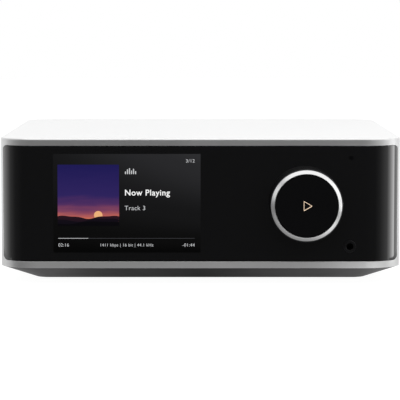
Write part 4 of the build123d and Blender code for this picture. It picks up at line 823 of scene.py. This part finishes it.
def knob_ring():
    """The black body of the ring and the bright band cut on its chamfer, both carried round the knob's
    axis. The body's profile is its wall, a rolled corner, the chamfer, the land, the recess wall and the
    web; each rolled corner is a quarter circle. The chamfer falls back as much as it goes out. The band
    lies along it, bowed by a sine of its width, and ends in a small rolled lip."""
    front, back = ring_low.y, ring_high.y
    outer = (ring_high.x - ring_low.x) / 2
    land_outer, land_inner = 15.8 * MM, 15.6 * MM
    land_y = front + 0.03 * MM
    band_outer = outer - 0.5 * MM
    band_y = front + band_outer - land_outer
    roll = 0.3 * MM
    shoulder_drop = 0.4 * MM
    web_front, web_back, web_inner = front + 4.8 * MM, front + 6.5 * MM, 6.5 * MM
    skirt_inner = 15.2 * MM
    turn = quarter_turn(steps=6)
    heel_radius = outer - roll + roll * np.cos(turn)
    heel_y = back - roll + roll * np.sin(turn)
    shoulder_radius = band_outer + (outer - band_outer) * np.cos(turn)
    shoulder_y = band_y + shoulder_drop * (1 - np.sin(turn))
    body = np.concatenate([
        np.stack([heel_radius, heel_y], axis=-1)[::-1],
        np.stack([shoulder_radius, shoulder_y], axis=-1),
        [[land_outer, land_y], [land_inner, land_y]],
        [[land_inner, web_front], [web_inner, web_front]],
        [[web_inner, web_back], [skirt_inner, web_back], [skirt_inner, back]],
    ])
    black = turned_metal("black anodised knob", rgb(0.03, 0.03, 0.032), rough=0.34, lines=6500.0)
    made = lathe("knob_ring_body", body, black, "volume_knob", sharp=35.0)
    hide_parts("knob_ring")

    bow = 0.05 * MM
    lip = 0.12 * MM
    band_depth, band_rim_depth = 0.4 * MM, 0.3 * MM
    along = np.linspace(0, 1, num=13)
    face_radius = band_outer + (land_outer - band_outer) * along
    face_y = front + face_radius - land_outer - bow * np.sin(math.pi * along)
    lip_turn = quarter_turn(steps=5)
    lip_radius = land_inner + lip * (1 - np.sin(lip_turn))
    lip_y = front + lip * (1 - np.cos(lip_turn))
    under_y = front + band_depth
    band = np.concatenate([
        np.stack([face_radius, face_y], axis=-1),
        np.stack([lip_radius, lip_y], axis=-1),
        [[land_inner, under_y], [land_outer, under_y], [band_outer, band_y + band_rim_depth]],
    ])
    bright = finishes["knob_aluminium"]
    lathe("knob_chamfer_band", band, bright, "volume_knob", sharp=50.0)


def rounded_polygon(corners, inset, radius, steps=8):
    """A convex outline drawn in by the inset, with each corner an arc from one edge's normal to the
    next's. A corner's centre lies back along the sum of the two normals, by the inset plus the radius,
    over 1 plus the normals' product."""
    corners = np.asarray(corners)
    along = np.roll(corners, -1, axis=0) - corners
    along = along / np.linalg.norm(along, axis=1, keepdims=True)
    after = np.stack([along[:, 1], -along[:, 0]], axis=-1)
    before = np.roll(after, 1, axis=0)
    agree = np.sum(after * before, axis=1, keepdims=True)
    centre = corners - (after + before) * (inset + radius) / (1 + agree)
    start = np.arctan2(before[:, 1], before[:, 0])[:, None]
    swing = np.mod(np.arctan2(after[:, 1], after[:, 0])[:, None] - start, 2 * math.pi)
    angle = start + swing * np.linspace(0, 1, steps)
    arc = radius * np.stack([np.cos(angle), np.sin(angle)], axis=-1)
    return (centre[:, None, :] + arc).reshape(-1, 2)


def play_mark():
    """The thin play triangle: an outer and an inner rounded outline, with flat faces and square edges."""
    low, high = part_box("play_icon")
    stroke, outer_corner, inner_corner = 0.21 * MM, 0.28 * MM, 0.06 * MM
    corners = [(low.x, low.z), (high.x, (low.z + high.z) / 2), (low.x, high.z)]
    outside = rounded_polygon(corners, 0.0, outer_corner)
    inside = rounded_polygon(corners, stroke, inner_corner)
    front, back = low.y, high.y
    rows = [(outside, front), (outside, back), (inside, back), (inside, front)]
    points = np.concatenate([stood_up(outline, y) for outline, y in rows])
    faces = ring_faces(len(rows), len(outside))
    made = piece("play_mark", points, faces, finishes["icon_amber"], "play_button")
    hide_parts("play_icon")


def sensor_window():
    """The faint round window over the light sensor: a thin disc on the glass, a circle about the sensor."""
    low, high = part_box("light_sensor")
    centre = np.array([(low.x + high.x) / 2, (low.z + high.z) / 2])
    radius = 1.1 * MM
    window = gloss_black("sensor window", rgb(0.0008, 0.0008, 0.001), rough=0.02, smears=0.02)
    inlay("sensor_window", centre + radius * circle(steps=48), 0, window)


def network_contacts():
    """The eight sprung contacts of the network socket: flat gilt wires that lean down into its mouth.
    Each is a closed bar; their places are one row of offsets added to one set of eight corners."""
    low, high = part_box("network_socket")
    count, pitch = 8, 1.02 * MM
    width, thickness = 0.4 * MM, 0.22 * MM
    roof = low.z + 11.05 * MM
    near_y, near_z = high.y - 2.2 * MM, roof - 0.2 * MM
    far_y, far_z = high.y - 9.0 * MM, roof - 3.2 * MM
    half = width / 2
    section = [(-half, 0.0), (half, 0.0), (half, thickness), (-half, thickness)]
    corners = np.array([
        (side, y, z + lift) for y, z in ((near_y, near_z), (far_y, far_z)) for side, lift in section
    ])
    number = np.arange(count)
    offset = np.zeros((count, 1, 3))
    offset[:, 0, 0] = (low.x + high.x) / 2 + (number - (count - 1) / 2) * pitch
    points = (corners + offset).reshape(-1, 3)
    bar = np.array([(0, 1, 2, 3), (7, 6, 5, 4), (0, 4, 5, 1), (1, 5, 6, 2), (2, 6, 7, 3), (3, 7, 4, 0)])
    faces = (bar + len(corners) * number[:, None, None]).reshape(-1, 4).tolist()
    piece("network_contacts", points, faces, finishes["brass_contact"], "root")


knob_ring()
play_mark()
sensor_window()
network_contacts()


# Studio: a pale floor and backdrop, soft lamps, and the camera of the photograph

# How bright the room is round the object, as (degrees from the camera's side to the right, level)
ROOM_LIGHT = [
    (-180, 0.9), (-125, 0.86), (-104, 0.62), (-90, 0.26), (-70, 0.09), (-45, 0.045), (0, 0.045),
    (35, 0.06), (49, 0.14), (60, 0.28), (72, 0.45), (100, 0.6), (125, 0.86), (180, 0.9),
]
ROOM_RADIUS, ROOM_HALF_HEIGHT = 3.2, 3.0

# The low strip lamp on the right, as (share of its length, level)
STRIP_LIGHT = [(0.0, 0.5), (0.35, 1.5), (0.6, 2.6), (0.8, 3.4), (0.93, 2.4), (1.0, 0.7)]
STRIP_RADIUS, STRIP_START, STRIP_END, STRIP_LOW, STRIP_HIGH = 3.1, 76, 112, -0.42, -0.1

# The cards that light the metal's sides from the floor: where they lie, and their levels
CARD_DROP = 0.002
UNDER_HALF = 0.13
BEFORE_LEFT, BEFORE_RIGHT, BEFORE_FRONT = -0.14, 0.18, -0.19
BESIDE_FAR, BESIDE_BACK = 0.23, 0.3
UNDER_LIGHT = [(0.0, 1.0), (0.14, 0.6), (0.3, 0.22), (0.5, 0.12), (0.75, 0.36), (1.0, 1.0)]
BEFORE_ACROSS = [(0.0, 0.0), (0.12, 0.4), (0.3, 0.45), (0.6, 0.5), (0.75, 1.5), (1.0, 0.0)]
BEFORE_OUTWARDS = [(0.0, 0.4), (0.3, 0.95), (0.55, 0.8), (1.0, 0.0)]
BESIDE_LIGHT = 0.6

FLOOR_HALF, FLOOR_SEEN, FLOOR_SHADE = 4, 0.96, 0.18


def stage_material(name, seen_light=0.0, mirrored_light=0.0, matt_shade=0.0):
    """A surface that the camera sees at one light and polished faces at another, plain or from a
    function, and whose matt shade keeps the object's shadow."""
    made = bpy.data.materials.new(name)
    made.use_nodes = True
    made.cycles.emission_sampling = "NONE"
    tree = made.node_tree
    tree.nodes.remove(tree.nodes["Principled BSDF"])
    rays = add(tree, "ShaderNodeLightPath").outputs
    seen = arithmetic(tree, "MAXIMUM", rays["Is Camera Ray"], rays["Is Transmission Ray"])
    seen = arithmetic(tree, "MULTIPLY", seen, seen_light)
    mirrored = mirrored_light(tree) if callable(mirrored_light) else mirrored_light
    mirrored = arithmetic(tree, "MULTIPLY", rays["Is Glossy Ray"], mirrored)
    strength = arithmetic(tree, "ADD", seen, mirrored)
    glow = add(tree, "ShaderNodeEmission", {"Color": grey(1.0), "Strength": strength})
    matt = add(tree, "ShaderNodeBsdfDiffuse", {"Color": grey(matt_shade)})
    both = add(tree, "ShaderNodeAddShader", {0: glow.outputs[0], 1: matt.outputs[0]})
    tree.links.new(both.outputs[0], tree.nodes["Material Output"].inputs["Surface"])
    return made


def bearing_of(tree):
    """The angle round the object from the camera's side to the right, in radians, from x and -y."""
    point = coordinates(tree)
    forward = arithmetic(tree, "MULTIPLY", point["Y"], -1.0)
    return arithmetic(tree, "ARCTAN2", point["X"], forward)


def room_light(tree):
    """The room's light by bearing: dark behind the camera, and pale at the sides and behind the object."""
    share = arithmetic(tree, "MULTIPLY_ADD", bearing_of(tree), 0.5 / math.pi, 0.5)
    return light_ramp(tree, share, [(bearing / 360 + 0.5, level) for bearing, level in ROOM_LIGHT])


def strip_light(tree):
    """The strip lamp's light, soft at both ends, that draws the bright edge of the glass."""
    along = arithmetic(tree, "SUBTRACT", bearing_of(tree), math.radians(STRIP_START))
    share = arithmetic(tree, "DIVIDE", along, math.radians(STRIP_END - STRIP_START))
    brightest = max(level for place, level in STRIP_LIGHT)
    levels = [(place, level / brightest) for place, level in STRIP_LIGHT]
    return arithmetic(tree, "MULTIPLY", light_ramp(tree, share, levels), brightest)


def light_under_case(tree):
    """The light on the floor under the case: dark in the middle, paler towards both ends."""
    return light_ramp(tree, place_share(tree, "X", -UNDER_HALF, UNDER_HALF), UNDER_LIGHT)


def light_before_case(tree):
    """The light on the floor in front of the case: brightest at the right corner, and gone further out.
    It is the product of one ramp across and one ramp outwards."""
    across = place_share(tree, "X", BEFORE_LEFT, BEFORE_RIGHT)
    outwards = place_share(tree, "Y", CASE_FRONT, BEFORE_FRONT)
    sides = light_ramp(tree, across, BEFORE_ACROSS, smooth=True)
    fade = light_ramp(tree, outwards, BEFORE_OUTWARDS, smooth=True)
    return arithmetic(tree, "MULTIPLY", sides, fade)


def stage_piece(name, points, faces, finish):
    """A floor, wall or card of the stage, from its points and faces."""
    mesh = bpy.data.meshes.new(name)
    mesh.from_pydata(points, [], faces)
    mesh.materials.append(finish)
    made = put(name, mesh)
    return made


def flat(name, left, right, front, back, finish):
    """One level plane of the stage."""
    corners = [(left, front, 0), (right, front, 0), (right, back, 0), (left, back, 0)]
    return stage_piece(name, corners, [(0, 1, 2, 3)], finish)


def curved_wall(name, radius, start, end, low, high, finish):
    """An upright strip of a circle round the object, from one bearing to the other:
    x = radius times the sine of the bearing, y = minus radius times its cosine."""
    columns = 49
    bearing = np.radians(np.linspace(start, end, columns))
    height = np.full(columns, low)
    foot = np.stack([radius * np.sin(bearing), -radius * np.cos(bearing), height], axis=-1)
    head = foot + np.array([0, 0, high - low])
    index = np.arange(columns - 1)
    faces = np.stack([index, index + 1, index + 1 + columns, index + columns], axis=-1).tolist()
    return stage_piece(name, np.concatenate([foot, head]).tolist(), faces, finish)


floor_finish = stage_material("pale floor", seen_light=FLOOR_SEEN, matt_shade=FLOOR_SHADE)
under_finish = stage_material("floor under the case", mirrored_light=light_under_case)
before_finish = stage_material("floor in front of the case", mirrored_light=light_before_case)
beside_finish = stage_material("floor beside the case", mirrored_light=BESIDE_LIGHT)
room_finish = stage_material("room wall", seen_light=1.0, mirrored_light=room_light)
strip_finish = stage_material("strip lamp", seen_light=1.0, mirrored_light=strip_light)

floor = flat("floor", -FLOOR_HALF, FLOOR_HALF, -FLOOR_HALF, FLOOR_HALF, floor_finish)
floor.visible_glossy = False
cards = [
    flat("floor_under_case", -UNDER_HALF, UNDER_HALF, CASE_FRONT, CASE_BACK, under_finish),
    flat("floor_before_case", BEFORE_LEFT, BEFORE_RIGHT, BEFORE_FRONT, CASE_FRONT, before_finish),
    flat("floor_left_of_case", -BESIDE_FAR, -UNDER_HALF, CASE_FRONT, BESIDE_BACK, beside_finish),
    flat("floor_right_of_case", UNDER_HALF, BESIDE_FAR, CASE_FRONT, BESIDE_BACK, beside_finish),
]
room = curved_wall("room_wall", ROOM_RADIUS, 0, 360, -ROOM_HALF_HEIGHT, ROOM_HALF_HEIGHT, room_finish)
strip = curved_wall("strip_lamp", STRIP_RADIUS, STRIP_START, STRIP_END, STRIP_LOW, STRIP_HIGH, strip_finish)
for card in cards:
    card.location.z = -CARD_DROP
    card.visible_camera = False
for unlit in (*cards, room, strip):
    unlit.visible_diffuse = False

# name, place, width, height, power
LAMPS = [
    ("overhead lamp", (0.05, -0.1, 1.4), 2.6, 2.2, 18.0),
    ("right fill lamp", (1.0, -0.9, 0.55), 1.5, 1.1, 2.7),
    ("left fill lamp", (-1.0, -0.6, 0.5), 0.8, 0.7, 1.0),
    ("front lamp", (0.0, -1.6, 1.05), 3.2, 1.2, 10.5),
    ("right side lamp", (1.5, -0.1, 0.6), 1.4, 1.0, 2.6),
    ("left side lamp", (-1.5, -0.1, 0.6), 1.1, 0.8, 1.3),
    ("rear lamp", (0.1, 1.4, 1.3), 2.2, 0.9, 6.0),
]
LAMP_AIM = Vector((0.0, 0.0, 0.05))

for name, place, width, height, power in LAMPS:
    light = bpy.data.lights.new(name, "AREA")
    light.shape = "RECTANGLE"
    light.size = width
    light.size_y = height
    light.energy = power
    lamp = put(name, light)
    lamp.location = place
    lamp.rotation_euler = (LAMP_AIM - Vector(place)).to_track_quat("-Z", "Y").to_euler()
    lamp.visible_camera = False

# The world is white to the camera, and gives a soft light to matt faces and a faint one to the rest
WORLD_SOFT, WORLD_FAINT = 0.5, 0.05
world = bpy.data.worlds.new("studio")
bpy.context.scene.world = world
world.use_nodes = True
world_tree = world.node_tree
world_rays = add(world_tree, "ShaderNodeLightPath").outputs
clear = arithmetic(world_tree, "MAXIMUM", world_rays["Is Camera Ray"], world_rays["Is Transmission Ray"])
soft = arithmetic(world_tree, "MULTIPLY_ADD", world_rays["Is Diffuse Ray"], WORLD_SOFT, WORLD_FAINT)
background = world_tree.nodes["Background"]
background.inputs["Color"].default_value = grey(1.0)
world_tree.links.new(arithmetic(world_tree, "MAXIMUM", clear, soft), background.inputs["Strength"])

CAMERA_LOOKS_DOWN = 4.95
camera_data = bpy.data.cameras.new("camera")
camera_data.sensor_width = 36.0
camera_data.lens = 196.0
camera_data.shift_x = -0.001
camera_data.clip_end = 20.0
camera = put("camera", camera_data)
camera.location = (0.0, -1.173, 0.1356)
camera.rotation_euler = (math.radians(90 - CAMERA_LOOKS_DOWN), 0.0, 0.0)
bpy.context.scene.camera = camera
bpy.context.scene.view_settings.view_transform = "Standard"
